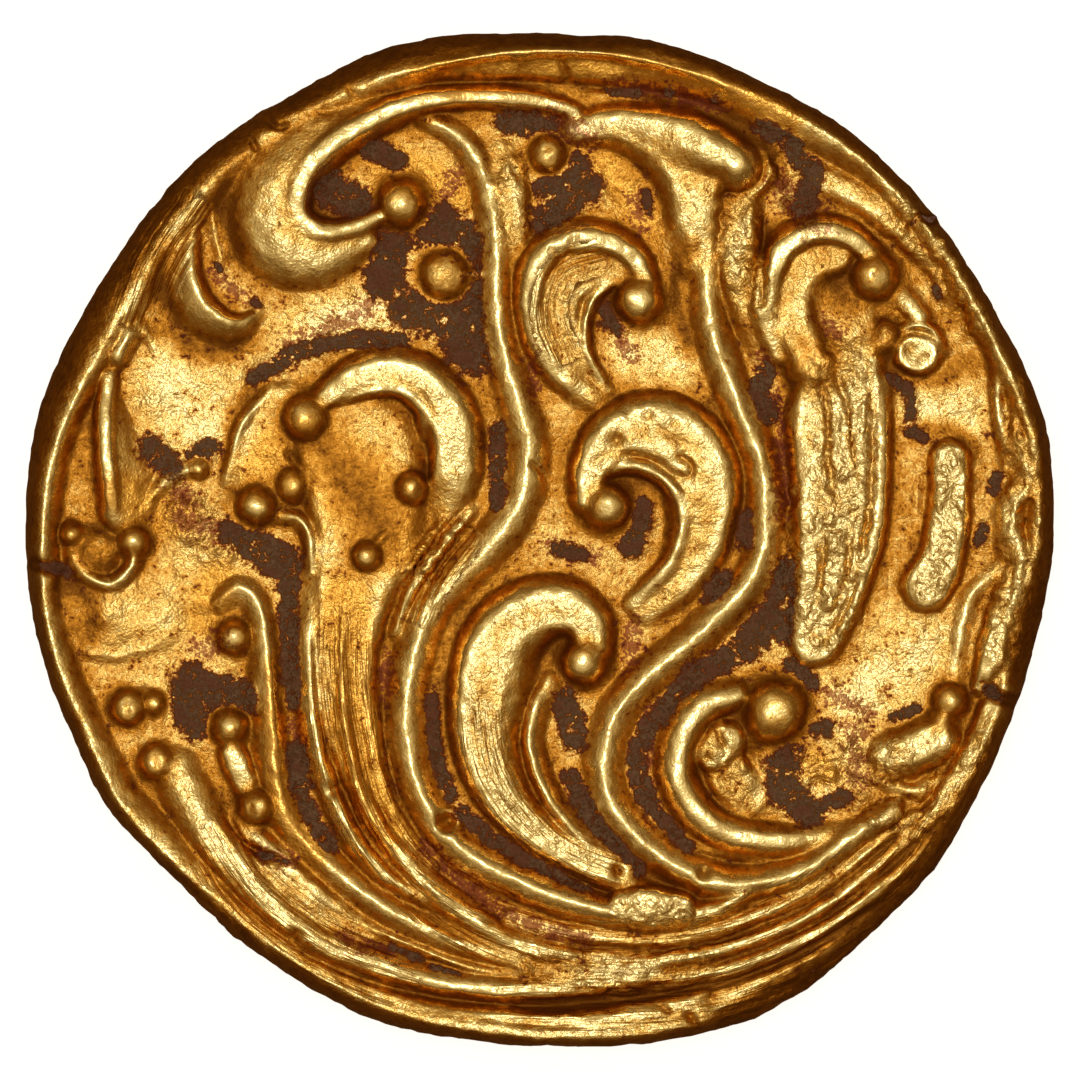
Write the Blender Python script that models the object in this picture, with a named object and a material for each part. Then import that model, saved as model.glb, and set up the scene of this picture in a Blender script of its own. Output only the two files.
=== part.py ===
"""Ancient gold coin: a thick hand-struck flan with whirling tendrils, curls and pellets in high relief.

Lengths are in millimetres until the vertices are made. The struck face looks up, X runs to its right
and Y to its top, and the underside lies on z = 0.
"""
from collections import namedtuple
from math import cos, radians, sin

import bmesh
import bpy
import numpy as np
from mathutils import Matrix

MM = 0.001

# Flan: heights of the field and of the edge's two corners
FIELD_HEIGHT = 1.65
FIELD_DOME = 0.12
FLAN_RADIUS = 9.0
EDGE_TOP = 1.2
EDGE_BOTTOM = 0.8
EDGE_FULLNESS = 1.6

# Underside: a flat ring that the coin rests on, round a shallow dish
REST_INSET = 0.9
DISH_RADIUS = 6.0
DISH_DEPTH = 0.3
DISH_FULLNESS = 4

# Relief: how softly its forms run into each other and into the field, how full the beads' section is,
# the low skirt round a bead as shares of its radius and rise, the steps along a crest, how many cuts
# there are between two of its points, and the length that a degree is drawn as in a ring's values
BLEND = 0.06
FILLET = 0.05
BEAD_FULLNESS = 2.6
SKIRT = 1.5
SKIRT_RISE = 0.7
PATH_STEP = 0.12
PATH_CUTS = 16
DEGREE_LENGTH = 0.02

# Mesh: fine facets from the middle to the edge and round it, how many triangles are kept in all,
# the angle past which an edge shows sharp, and the height below which a vertex lies on the ground
RINGS = 110
AROUND = 420
TRIANGLES = 9800
SHARP_ANGLE = 50
LEVEL_WITHIN = 0.01

# Worn high-carat gold
GOLD = (0.78, 0.5, 0.13, 1)
GOLD_ROUGHNESS = 0.3

# Outline of the flan: angle in degrees, radius
OUTLINE = [
    (0, 9.03), (13, 9.12), (27, 8.96), (38, 8.97), (50, 9.03), (65, 8.95), (77, 9), (90, 8.91),
    (105, 9.07), (120, 8.99), (133, 9.03), (150, 8.96), (167, 9.09), (180, 9.05), (195, 8.98),
    (204, 8.93), (211, 8.96), (222, 8.78), (238, 8.83), (252, 8.93), (263, 8.89), (272, 8.92),
    (281, 9.04), (295, 9.21), (312, 9.04), (321, 9.01), (330, 8.92), (347, 8.89),
]

# Raised rim: angle, how far its crest lies in from the edge, its rise, the width of its inner side
RIM = [
    (0, .33, .25, .25), (20, .33, .32, .25), (30, .27, .3, .3), (50, .3, .3, .35), (60, .3, .3, .5),
    (76, .26, .3, .65), (86, .32, .28, .75), (96, .43, .28, .7), (110, .52, .3, .4),
    (120, .44, .29, .35), (130, .5, .28, .4), (146, .6, .28, .4), (158, .62, .32, .3),
    (173, .4, .32, .3), (190, .26, .28, .35), (205, .3, .28, .4), (215, .25, .3, .5),
    (225, .25, .3, .5), (235, .3, .3, .4), (246, .32, .32, .35), (257, .26, .34, .5),
    (270, .2, .36, .6), (280, .22, .34, .5), (288, .28, .25, .4), (294, .5, .12, .4),
    (305, .6, .08, .5), (320, .5, .1, .4), (334, .38, .28, .3), (341, .35, .25, .3),
    (347, .45, .15, .3), (353, .45, .2, .3),
]

# A ridge: the points its crest runs through, the widths of its left and right flanks and its rise, each
# from start to end, then how full its section is and the share of its half width that is flat, each once
# for both flanks or for the left and the right
Ridge = namedtuple("Ridge", "crest left right rise fullness flat", defaults=(1.8, 0.0))

# A bead: its middle, radius and rise
Bead = namedtuple("Bead", "x y radius rise")

UPPER_WAVES = {
    "west wave body": Ridge(
        [(-3.1, 5.22), (-3.75, 5.03), (-4.35, 5.18), (-4.62, 5.65), (-4.5, 6.2), (-4, 6.78),
         (-3.1, 7.3), (-2.2, 7.58)],
        (.3, .65, .9, .98, 1, .85, .6, .45), (.3, .45, .5, .5, .45, .35, .2),
        (.22, .36, .43, .43, .38, .32, .25), (1.8, 2.6), (.06, .5)),
    "west wave lip": Ridge(
        [(-2.8, 5.7), (-3.3, 5.48), (-3.85, 5.45), (-4.2, 5.72), (-4.12, 6.3), (-3.68, 6.85),
         (-1.9, 7.7), (.1, 7.68), (.6, 7.52)],
        (.18, .25, .34, .36, .3, .24, .2, .16), (.14, .2, .2, .18, .2, .22, .18),
        (.28, .42, .49, .48, .44, .38, .31, .2), 2.4, (.45, .35)),
    "crescent": Ridge(
        [(-6.08, 5.45), (-6.1, 4.9), (-6.02, 4.5), (-5.85, 4.15), (-5.55, 3.9), (-5.25, 3.84),
         (-4.95, 3.98)],
        (.12, .14, .15, .1), (.3, .55, .66, .62, .5, .2), (.16, .3, .38, .4, .36, .12), (2.4, 1.6),
        (.1, .14)),
    "crescent folds": Ridge(
        [(-5.6, 6.45), (-5.72, 6), (-5.72, 5.5), (-5.58, 4.9)],
        .08, .1, (.08, .13, .08)),
    "inner crescent fold": Ridge([(-5.45, 6.2), (-5.56, 5.6), (-5.5, 5)], .07, .07, (.06, .1, .06)),
    "east wave": Ridge(
        [(.6, 7.25), (1.2, 7.38), (2, 7.3), (2.8, 7), (3.25, 6.72), (3.5, 6.52)],
        (.25, .28, .35, .45, .5, .5), (.35, .45, .7, .95, .8, .5), (.2, .3, .36, .42, .47, .48),
        (2.4, 1.6), (.1, .3)),
    "east wave tail": Ridge(
        [(3.82, 6.98), (4.02, 6.62), (3.96, 6.25), (3.62, 6), (3.3, 5.85)],
        .1, .16, (.1, .2, .2, .14)),
    "east stem": Ridge(
        [(2.95, 6.7), (2.85, 6.1), (2.8, 5.4), (2.9, 4.7)],
        (.5, .42, .36, .3), (.5, .5, .45, .3), (.32, .28, .25, .16), 2, .35),
    "east stem edge": Ridge(
        [(2.28, 5.3), (2.22, 4.8), (2.28, 4.3), (2.4, 3.9)],
        .14, .16, (.04, .07, .04)),
    "crumpled plate": Ridge(
        [(3.52, 5.9), (3.5, 4.8), (3.68, 4), (3.88, 3.3)],
        (.42, .45, .4, .25), (.4, .42, .36, .25), (.14, .22, .2, .1), 2.6, .7),
    "east shoulder": Ridge(
        [(.75, 7.1), (1.4, 7.08), (1.95, 6.82), (2.34, 6.3), (2.5, 5.6), (2.56, 4.9)],
        (.3, .5, .7, .8, .6, .4), (.2, .3, .38, .36, .36, .3), (.2, .28, .32, .3, .26, .12), (2.4, 1.5),
        (.6, 0)),
}

LONG_TENDRILS = {
    "long tendril": Ridge(
        [(3, 5.5), (2.95, 5), (2.95, 4.2), (3.08, 3.5), (3.65, 2), (3.9, 1.3), (3.95, .5), (3.88, -.3),
         (3.6, -.85), (2.5, -1.9), (1.8, -2.5), (1.3, -3.15), (1.12, -4), (1.28, -4.65), (2, -5.45),
         (3.2, -6.03), (4.1, -5.95), (4.8, -5.68), (5.4, -5.25), (6.2, -4.72)],
        (.25, .34, .34, .36, .38, .38, .38, .38, .38, .38, .34, .22),
        (.25, .36, .38, .38, .38, .38, .4, .4, .38, .36, .34, .22),
        (.16, .28, .3, .28, .28, .28, .3, .34, .36, .2), 1.5, (0, .06)),
    "s tendril": Ridge(
        [(-2.1, 7.42), (-1.5, 7.12), (-1.08, 6.6), (-.88, 6), (-.78, 5.2), (-.76, 4.3), (-.66, 3.4),
         (-.38, 2.4), (-.2, 1.7), (-.2, 1.2), (-.4, .55), (-.85, -.08), (-1.4, -.62), (-1.9, -1.2),
         (-2.2, -2), (-2.34, -3.1), (-2.24, -4), (-1.95, -4.7), (-1.45, -5.35), (0, -6.15), (1.2, -6.5),
         (2.2, -6.62), (3.1, -6.47), (3.6, -6.2)],
        (.22, .3, .34, .36, .4, .4, .38, .36, .34, .32, .3, .25),
        (.22, .32, .36, .4, .44, .42, .42, .42, .42, .4, .38, .25),
        (.16, .24, .28, .28, .26, .26, .29, .3, .33, .38, .38, .3), 1.5, .04),
    "s tendril shelf": Ridge(
        [(-.72, 6.75), (-.58, 6.1), (-.54, 5.4), (-.64, 4.6)],
        (.3, .34, .34, .25), (.3, .3, .3, .25), (.12, .25, .25, .14), 2.4, .6),
    "hook tendril": Ridge(
        [(-5.6, -1.05), (-5.35, -.82), (-5.05, -.92), (-4.85, -1.35), (-4.76, -2), (-4.7, -3),
         (-4.63, -4), (-4.48, -4.75), (-4.15, -5.25), (-3.3, -6.05), (-2, -6.83), (-.4, -7.38)],
        (.18, .2, .24, .28, .3, .32, .3, .28), (.3, .4, .42, .42, .42, .38, .34, .3),
        (.16, .26, .28, .28, .22, .28, .28, .22), 1.5),
    "broad tendril": Ridge(
        [(-6.4, -4.15), (-6.1, -4.75), (-5.6, -5.45), (-4.5, -6.62), (-3.95, -7.05), (-3.2, -7.4),
         (-1.8, -7.8), (-.9, -7.9), (0, -7.92), (1, -7.8)],
        (.3, .42, .45, .44, .4, .34, .3, .26), (.35, .42, .38, .34, .3, .28, .25),
        (.2, .33, .36, .35, .32, .3, .26, .16), (1.6, 1.5), .05),
    "broad tendril shelf": Ridge(
        [(-5.9, -4.5), (-5.25, -5.2), (-4.55, -5.9), (-3.85, -6.45), (-3.05, -6.9)],
        (.3, .48, .5, .4, .3), (.4, .5, .5, .45, .3), (.12, .23, .25, .23, .12), 2.4, .6),
}

MIDDLE_CURLS = {
    "upper curl body": Ridge(
        [(1.35, 4.78), (.85, 4.74), (.42, 4.45), (.3, 3.9), (.45, 3.3), (.95, 2.65)],
        (.4, .44, .46, .44, .4, .3), .44, (.24, .28, .28, .26, .22, .08), 2.6, .66),
    "upper curl lip": Ridge(
        [(1.87, 4.45), (1.55, 5), (.95, 5.24), (.35, 5.14), (0, 4.8), (-.11, 4.3), (-.06, 3.8),
         (.25, 3.1), (1, 2.5)],
        (.18, .22, .22, .18, .16), (.32, .4, .42, .4, .34), (.29, .39, .43, .41, .34, .26, .12),
        (2.4, 1.6), (.4, .2)),
    "upper curl inner": Ridge(
        [(1.3, 4.5), (.95, 4.22), (.8, 3.7), (.88, 3.2), (1.2, 2.65)],
        .1, .2, (.24, .31, .29, .23, .12), (2.4, 1.6)),
    "middle curl": Ridge(
        [(.85, .72), (.96, 1.3), (1.35, 1.76), (1.86, 1.92), (2.4, 1.76), (2.8, 1.36), (2.96, .8),
         (2.9, .1), (2.55, -.55), (1.85, -1.15)],
        (.34, .48, .66, .74, .74, .66, .52, .48, .45, .38), (.3, .42, .6, .75, .82, .8, .7, .5, .36),
        (.34, .4, .41, .41, .39, .35, .28, .2, .1), (2.2, 2.8), (.55, .7)),
    "middle curl inner": Ridge(
        [(1.05, 1.12), (1.45, 1.3), (1.95, 1.22), (2.34, .88), (2.48, .3), (2.28, -.35), (1.6, -1.1)],
        .24, .16, (.3, .4, .4, .36, .3, .12), 2.2, .2),
    "comma": Ridge(
        [(.88, -1.9), (.75, -1.42), (.25, -1.18), (-.38, -1.33), (-.88, -1.8), (-1.15, -2.5),
         (-1.2, -3.3), (-1.04, -4), (-.62, -4.7), (0, -5.2), (.8, -5.65), (2.05, -6.25)],
        (.35, .6, .85, 1.1, 1.1, .9, .7, .52, .4, .3, .12),
        (.45, .58, .6, .56, .45, .4, .36, .36, .34, .3, .12),
        (.36, .4, .43, .43, .41, .39, .36, .32, .27, .14), (1.7, 2.2), (.4, .35)),
    "comma inner": Ridge(
        [(.15, -2.45), (-.1, -2.9), (-.2, -3.5), (-.05, -4.15), (.35, -4.85), (.95, -5.45), (1.5, -5.8)],
        .3, .14, (.14, .28, .32, .32, .3, .24), (1.6, 2.2)),
}

LEFT_FORMS = {
    "left plate": Ridge(
        [(-3.4, 1.6), (-3.3, .5), (-3.38, -1), (-3.4, -3), (-2.95, -4.5)],
        (1.25, 1.1, .85, .65, .6, .55, .5, .4), (1, .85, .72, .68, .68, .62, .5, .4),
        (.2, .24, .24, .23, .22, .18), 2.6, .7),
    "left plate edge": Ridge(
        [(-4.55, .42), (-4.22, .38), (-4.02, .05), (-4, -.6)],
        .12, .16, (.16, .24, .26, .22)),
    "left cheek": Ridge(
        [(-4.4, 2.3), (-4.85, 1.75), (-4.95, 1.2), (-4.9, .8)],
        .55, .5, (.1, .13, .13), 2.4, .6),
    "left cheek edge": Ridge(
        [(-4.7, 2.65), (-5.22, 2), (-5.4, 1.4), (-5.5, 1)],
        .1, .16, (.1, .2, .18, .1)),
    "left curl": Ridge(
        [(-3.8, 2.48), (-3.3, 2.85), (-2.7, 3), (-2.15, 2.86), (-1.68, 2.42), (-1.44, 1.8),
         (-1.46, 1.2), (-1.66, .7), (-2, .3)],
        (.28, .35, .4, .44, .44, .4, .3), (.25, .35, .45, .58, .62, .6, .5, .4),
        (.3, .38, .4, .38, .35, .25, .04), (1.7, 2.6), (.2, .62)),
    "left curl inner": Ridge(
        [(-3.55, 2.42), (-3, 2.6), (-2.5, 2.6), (-2.14, 2.32), (-2.02, 1.85)],
        .16, .14, (.25, .38, .39, .36, .22), 2.2),
    "outer stem": Ridge(
        [(-3.95, -.6), (-4.03, -2), (-3.95, -3.3), (-3.72, -4.2), (-3.38, -5), (-2.95, -5.6),
         (-2.45, -6.05), (-1.95, -6.3)],
        .18, (.3, .32, .32, .28), (.14, .26, .3, .32, .32, .3, .2), 1.6),
    "middle stem": Ridge(
        [(-3.4, -.6), (-3.47, -1.8), (-3.42, -3.2), (-3.2, -4.2), (-2.9, -4.9), (-2.45, -5.5),
         (-1.95, -6.05), (-.9, -6.85), (-.2, -7.15), (.6, -7.3)],
        (.18, .2, .25, .32, .3), (.18, .2, .28, .32, .3), (.2, .31, .34, .34, .33, .32, .2), 1.7),
    "inner stem": Ridge(
        [(-3.05, -1.3), (-3.1, -2.4), (-2.95, -3.7), (-2.7, -4.6), (-2.3, -5.3), (-1.9, -5.75)],
        (.2, .3, .3, .2), .14, (.18, .24, .25, .22, .14)),
    "first sliver": Ridge(
        [(-1.2, .5), (-1.65, -.02), (-2.05, -.55), (-2.38, -1.15), (-2.52, -1.6)],
        .14, .16, (.12, .24, .24, .18), 1.6),
    "second sliver": Ridge(
        [(-.95, .15), (-1.42, -.38), (-1.88, -1), (-2.12, -1.6)],
        .12, .14, (.1, .2, .2, .12)),
    "third sliver": Ridge(
        [(-1.72, .3), (-2.08, -.15), (-2.4, -.65), (-2.62, -1.1)],
        .13, .14, (.1, .18, .16, .08)),
    "spike": Ridge(
        [(-7.5, 3), (-7.58, 2.2), (-7.55, 1.4), (-7.42, .5)],
        (.16, .5, .8, .7), (.16, .26, .34), (.14, .27, .3, .28), (1.3, 1.8), (0, .4)),
    "pellet cradle": Ridge(
        [(-8.2, -.2), (-8.05, -.55), (-7.55, -.76), (-7.2, -.5), (-7.08, -.15)],
        .16, .22, (.16, .24, .28, .24)),
    "tongue": Ridge([(-8, -1.2), (-7.45, -1.3), (-6.8, -1.15)], .75, .72, (.1, .12, .08), 1.8, .25),
    "tongue hem": Ridge(
        [(-8.35, -1.6), (-8, -1.92), (-7.5, -2.02), (-6.95, -1.9), (-6.5, -1.65)],
        .14, .16, (.05, .09, .09, .04)),
    "small tendril": Ridge([(-5.98, 1.26), (-6.3, 1.18), (-6.7, .88), (-7, .4)], .15, .17, .14),
    "bead ridge": Ridge([(-5.38, -3.7), (-5.28, -4), (-5.14, -4.35)], .3, .3, .26, 2.2, .3),
    "pellet tail": Ridge([(-2.95, -.15), (-2.76, .06), (-2.6, .34)], .1, .1, (.36, .3, .16)),
    "oval pellet": Ridge([(-7.3, 3.48), (-7.48, 3.12)], .2, .2, .22, 2.2, .2),
}

RIGHT_FORMS = {
    "right curl body": Ridge(
        [(5.2, 4.98), (4.72, 4.8), (4.44, 4.3), (4.46, 3.8), (4.72, 3.15)],
        (.38, .42, .46, .5, .48), (.44, .46, .48, .5, .48), (.26, .3, .31, .32, .34), 2.6, .6),
    "right curl lip": Ridge(
        [(5.75, 5), (5.35, 5.3), (4.82, 5.36), (4.3, 5.06), (4.06, 4.5), (4.02, 3.9), (4.25, 3.3)],
        (.18, .22, .22, .18), (.3, .4, .42, .36), (.29, .39, .42, .4, .34, .24), (2.4, 1.6), (.4, .15)),
    "right curl inner": Ridge(
        [(5.2, 4.95), (4.92, 4.72), (4.82, 4.3), (4.9, 3.85)],
        .1, .2, (.22, .33, .32, .24), (2.4, 1.6)),
    "striped plate": Ridge(
        [(5.42, 4.1), (5.32, 3.2), (5.22, 2), (5.26, .9), (5.22, .1), (5.04, -.9), (4.72, -1.9)],
        (.5, .76, .9, .9, .85, .72, .54), (.5, .8, .94, .9, .8, .68, .5),
        (.12, .24, .28, .31, .31, .31, .22), 2.8, .8),
    "striped plate edge": Ridge(
        [(5.98, 2.8), (6, 2), (5.98, .9), (5.88, 0), (5.62, -.8), (5.16, -1.85)],
        .16, .2, (.18, .31, .35, .35, .33, .2), 1.8, .3),
    "bar": Ridge([(7.2, 1.4), (7.2, .8), (7.04, -.35), (6.8, -.85)], .4, .4, (.24, .27, .25), 2.6, .7),
    "bar fold": Ridge([(6.68, 1.55), (6.62, .9), (6.6, .2)], .1, .1, (.08, .13, .08)),
    "rough ridge": Ridge(
        [(4.9, 6.35), (5.6, 6.02), (6.3, 5.52), (7, 4.82), (7.45, 4.1)],
        .28, .28, (.1, .17, .14, .06), 2.2, .4),
    "small hook": Ridge([(6.2, 4.32), (6.45, 4.15), (6.62, 3.8)], .26, .26, (.16, .26, .22), 2, .3),
    "low curl": Ridge(
        [(3.45, -2.72), (2.9, -2.88), (2.5, -3.4), (2.4, -4), (2.56, -4.5), (2.92, -4.92), (3.5, -5.2),
         (4.4, -5.3), (5.45, -5.1)],
        (.3, .38, .38, .36, .36, .34, .2), (.3, .42, .42, .4, .36, .3, .2),
        (.3, .38, .41, .39, .34, .26, .1), (1.8, 1.7), (.25, .15)),
    "low curl ledge": Ridge(
        [(3.3, -3.9), (3.5, -4.3), (3.75, -4.7)],
        .42, .4, (.14, .16, .06), 2.2, .4),
    "leaf": Ridge([(6.2, -3.74), (6.5, -3.68), (6.95, -3.45)], .45, .48, (.22, .31, .3), 2.2, .5),
    "leaf fold": Ridge([(5.9, -4.15), (6.2, -4.35), (6.6, -4.38), (7, -4.2)], .12, .16, (.06, .13, .1)),
    "inner rim": Ridge(
        [(8.3, 2.3), (8.5, 1.5), (8.58, 1), (8.36, .62), (8.3, .2), (8.46, -.3), (8.28, -1.1),
         (7.95, -2.3)],
        (.2, .22, .22), (.2, .24, .24), (.2, .28, .26, .26, .24)),
    "inner rim start": Ridge(
        [(8.05, 3.4), (8.03, 2.6), (8.1, 1.9), (8.25, 1.3)],
        .14, .16, (.14, .2, .18, .08)),
    "right fold": Ridge(
        [(8.3, -.3), (7.9, -.62), (7.55, -1), (7.38, -1.6), (7.25, -2.45)],
        .24, .25, (.08, .15, .15, .1), 2, .3),
    "bright fold": Ridge([(8, -1.35), (7.88, -1.9), (7.74, -2.45)], .16, .18, (.12, .24, .22)),
    "low right rim": Ridge(
        [(8, -3), (7.75, -3.65), (7.4, -4.3), (6.95, -5), (6.4, -5.75)],
        .3, .34, (.24, .26, .24, .14), 2.2, .45),
}

FLOWING_RIDGES = {
    "first flow": Ridge(
        [(-.5, -6.6), (.3, -6.83), (2, -7.05), (3, -6.9), (3.9, -6.55), (4.65, -6.22), (5.4, -5.75)],
        .16, .18, (.12, .18, .18, .12)),
    "second flow": Ridge(
        [(1, -7.3), (2.2, -7.33), (3.3, -7.15), (4.2, -6.8), (5, -6.4), (5.8, -5.8), (6.5, -5.2)],
        .2, .22, (.12, .2, .22, .14)),
    "third flow": Ridge(
        [(2.3, -7.68), (3.3, -7.5), (4.3, -7.15), (5.1, -6.75), (5.9, -6.15), (6.6, -5.55), (7.2, -4.9)],
        .2, .22, (.12, .18, .18, .12)),
    "fourth flow": Ridge(
        [(3.2, -8), (4, -7.68), (4.8, -7.3), (5.6, -6.75), (6.3, -6.15)],
        .16, .18, (.08, .16, .14, .08)),
    "short flow": Ridge(
        [(5.1, -6), (5.7, -5.52), (6.3, -5.05), (7, -4.6)],
        .14, .14, (.08, .16, .14, .1)),
    "thin fold": Ridge(
        [(-3.6, -6.5), (-2.4, -7.05), (-1.2, -7.5), (-.3, -7.62)],
        .12, .12, (.14, .2, .2, .16)),
    "knobbly band": Ridge(
        [(-.6, -7.5), (.5, -7.64), (1.6, -7.6), (2.9, -7.35)],
        .3, .3, (.1, .18, .18, .1), 2, .3),
    "bottom rim line": Ridge(
        [(-4, -7.4), (-3, -7.88), (-2, -8.15), (0, -8.36), (1.9, -8.22), (2.9, -7.98)],
        .2, .12, (.2, .26, .28, .26, .18)),
    "bottom rim band": Ridge(
        [(-3.2, -8.08), (-1.8, -8.48), (0, -8.62), (1.6, -8.54), (2.7, -8.28)],
        .36, .3, (.2, .34, .36, .34, .2), 2.2, .6),
}

OBVERSE_RIDGES = [*UPPER_WAVES.values(), *LONG_TENDRILS.values(), *MIDDLE_CURLS.values(),
                  *LEFT_FORMS.values(), *RIGHT_FORMS.values(), *FLOWING_RIDGES.values()]

OBVERSE_BEADS = [
    Bead(-2.42, 5.9, .42, .42), Bead(-1.68, 4.65, .42, .26), Bead(.13, 6.77, .32, .27),
    Bead(3.5, 6.52, .48, .52), Bead(1.72, 4.22, .38, .46), Bead(1.16, .6, .42, .46),
    Bead(.77, -2.13, .4, .5), Bead(4.12, -3, .44, .44), Bead(3.1, -3.62, .42, .26),
    Bead(-4.1, 2.13, .42, .44), Bead(-2.26, .9, .28, .4), Bead(-3.04, -.28, .26, .44),
    Bead(-4.98, .62, .36, .4), Bead(-4.35, .97, .3, .32), Bead(-6, 1.25, .17, .2),
    Bead(-7.13, -.03, .3, .34), Bead(-8.22, .1, .22, .24), Bead(-7.75, -.2, .42, .2),
    Bead(-5.35, -1.7, .36, .3), Bead(-5.44, -3.28, .38, .3), Bead(-7.23, -2.93, .34, .3),
    Bead(-6.78, -2.85, .22, .2), Bead(-6.72, -3.9, .34, .3), Bead(-4.97, -4.68, .38, .36),
    Bead(5.86, 4.62, .42, .42), Bead(6.62, 3.27, .44, .25), Bead(4.78, 3.08, .5, .36),
    Bead(6.05, 3.55, .3, .24), Bead(7.2, -2.82, .3, .32), Bead(7.05, -3.18, .24, .28),
]

# Underside relief: plain commas whirl round a boss, each with a pellet in its hollow
BOSS = Bead(0, 0, .75, .2)
COMMAS = 3
COMMA_START = 2.3
COMMA_END = 5.0
COMMA_SWEEP = 125.0
COMMA_POINTS = 6
COMMA_LEFT = (.45, .5, .4, .2)
COMMA_RIGHT = (.7, .8, .5, .2)
COMMA_RISE = (.14, .2, .14, .08)
COMMA_FLAT = 0.2
PELLET_TURN = 35.0
PELLET_REACH = 4.5
PELLET_RADIUS = 0.4
PELLET_RISE = 0.2


def spaced_path(points, step):
    """A smooth curve through the points, cut into even steps."""
    points = np.array(points, float)
    ends = np.vstack([2 * points[0] - points[1], points, 2 * points[-1] - points[-2]])
    t = np.linspace(0, 1, PATH_CUTS, endpoint=False)[:, None]
    runs = []
    for before, start, end, after in zip(ends[:-3], ends[1:-2], ends[2:-1], ends[3:]):
        k0, k1, k2 = (np.sqrt(np.hypot(*(b - a))) for a, b in ((before, start), (start, end), (end, after)))
        leave = end - start + k1 * ((start - before) / k0 - (end - before) / (k0 + k1))
        arrive = end - start + k1 * ((after - end) / k2 - (after - start) / (k1 + k2))
        bend = 2 * (start - end) + leave + arrive
        runs.append(bend * t ** 3 - (bend + leave - (end - start)) * t ** 2 + leave * t + start)
    line = np.vstack(runs + [points[-1:]])
    along = np.concatenate([[0], np.cumsum(np.hypot(*np.diff(line, axis=0).T))])
    at = np.linspace(0, along[-1], max(2, round(along[-1] / step) + 1))
    return np.column_stack([np.interp(at, along, line[:, 0]), np.interp(at, along, line[:, 1])])


def spread(values, count):
    """Values given from start to end, drawn out over a number of places."""
    values = np.atleast_1d(values)
    return np.interp(np.linspace(0, 1, count), np.linspace(0, 1, len(values)), values)


def ring_value(angles, stations, column):
    """A value given at some angles round the coin, read at any angle."""
    turns = np.array([row[0] for row in stations], float)
    values = np.array([row[column] for row in stations], float)
    turns = np.concatenate([turns - 360, turns, turns + 360]) * DEGREE_LENGTH
    path = spaced_path(np.column_stack([turns, np.tile(values, 3)]), DEGREE_LENGTH)
    return np.interp(np.mod(angles, 360) * DEGREE_LENGTH, path[:, 0], path[:, 1])


def on_side(side, left, right):
    """A value that goes over from the left flank's to the right flank's."""
    return (left + right + (left - right) * side) / 2


def ridge_rise(places, ridge):
    """How high a ridge stands at each place, by its section at the nearest place on its crest."""
    path = spaced_path(ridge.crest, PATH_STEP)
    left, right, rise = (spread(values, len(path)) for values in (ridge.left, ridge.right, ridge.rise))
    reach = max(left.max(), right.max())
    inside = np.all((places > path.min(axis=0) - reach) & (places < path.max(axis=0) + reach), axis=1)
    around = places[inside]
    nearest = np.full(len(around), reach)
    height = np.zeros(len(around))
    for i, run in enumerate(np.diff(path, axis=0)):
        near = np.nonzero(np.abs(around - path[i] - run / 2).max(axis=1) < reach + PATH_STEP / 2)[0]
        offset = around[near] - path[i]
        share = np.clip(offset @ run / (run @ run), 0, 1)
        offset = offset - share[:, None] * run
        distance = np.hypot(offset[:, 0], offset[:, 1])
        closer = distance < nearest[near]
        near, share, offset, distance = near[closer], share[closer], offset[closer], distance[closer]
        nearest[near] = distance
        side = (run[0] * offset[:, 1] - run[1] * offset[:, 0]) / (np.hypot(*run) * distance + 1e-9)
        left_width, right_width, crest_rise = (
            values[i] + (values[i + 1] - values[i]) * share for values in (left, right, rise))
        flat = on_side(side, *np.broadcast_to(ridge.flat, 2))
        fullness = on_side(side, *np.broadcast_to(ridge.fullness, 2))
        across = np.clip((distance / on_side(side, left_width, right_width) - flat) / (1 - flat), 0, 1)
        height[near] = crest_rise * (1 - across ** fullness)
    result = np.zeros(len(places))
    result[inside] = height
    return result


def bead_rise(places, bead):
    """How high a domed bead stands at each place."""
    across = np.hypot(places[:, 0] - bead.x, places[:, 1] - bead.y) / bead.radius
    dome = np.sqrt(np.clip(1 - across ** BEAD_FULLNESS, 0, 1))
    return bead.rise * np.maximum(dome, SKIRT_RISE * np.clip(1 - across / SKIRT, 0, 1))


def join(first, second):
    """The higher of two forms, with a soft valley where they meet."""
    reach = np.clip(2 * np.minimum(first, second), 1e-9, BLEND)
    return np.maximum(first, second) + np.maximum(reach - np.abs(first - second), 0) ** 2 / (4 * reach)


def relief_rise(places, ridges, beads):
    """The joined rise of all ridges and beads."""
    rise = np.zeros(len(places))
    for ridge in ridges:
        rise = join(rise, ridge_rise(places, ridge))
    for bead in beads:
        rise = join(rise, bead_rise(places, bead))
    return rise


def polar(places):
    """Distance from the middle, and angle in degrees."""
    return np.hypot(places[:, 0], places[:, 1]), np.degrees(np.arctan2(places[:, 1], places[:, 0]))


def at_angle(angle, radius):
    """The place at an angle in degrees and a distance from the middle."""
    return radius * cos(radians(angle)), radius * sin(radians(angle))


def edge_fall(depth_in, inset):
    """How far the rounded edge has fallen: none at the inset, all at the outline."""
    return 1 - np.sqrt(1 - np.clip(1 - depth_in / inset, 0, 1) ** EDGE_FULLNESS)


def top_height(places):
    """The struck face."""
    radius, angle = polar(places)
    depth_in = ring_value(angle, OUTLINE, 1) - radius
    inset, rise, inner = (ring_value(angle, RIM, column) for column in (1, 2, 3))
    relief = relief_rise(places, OBVERSE_RIDGES, OBVERSE_BEADS)
    relief = join(relief, rise * (1 - np.clip((depth_in - inset) / inner, 0, 1) ** EDGE_FULLNESS))
    height = FIELD_HEIGHT + FIELD_DOME * (1 - (radius / FLAN_RADIUS) ** 2) + relief ** 2 / (relief + FILLET)
    return height + (EDGE_TOP - height) * edge_fall(depth_in, inset)


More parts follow.
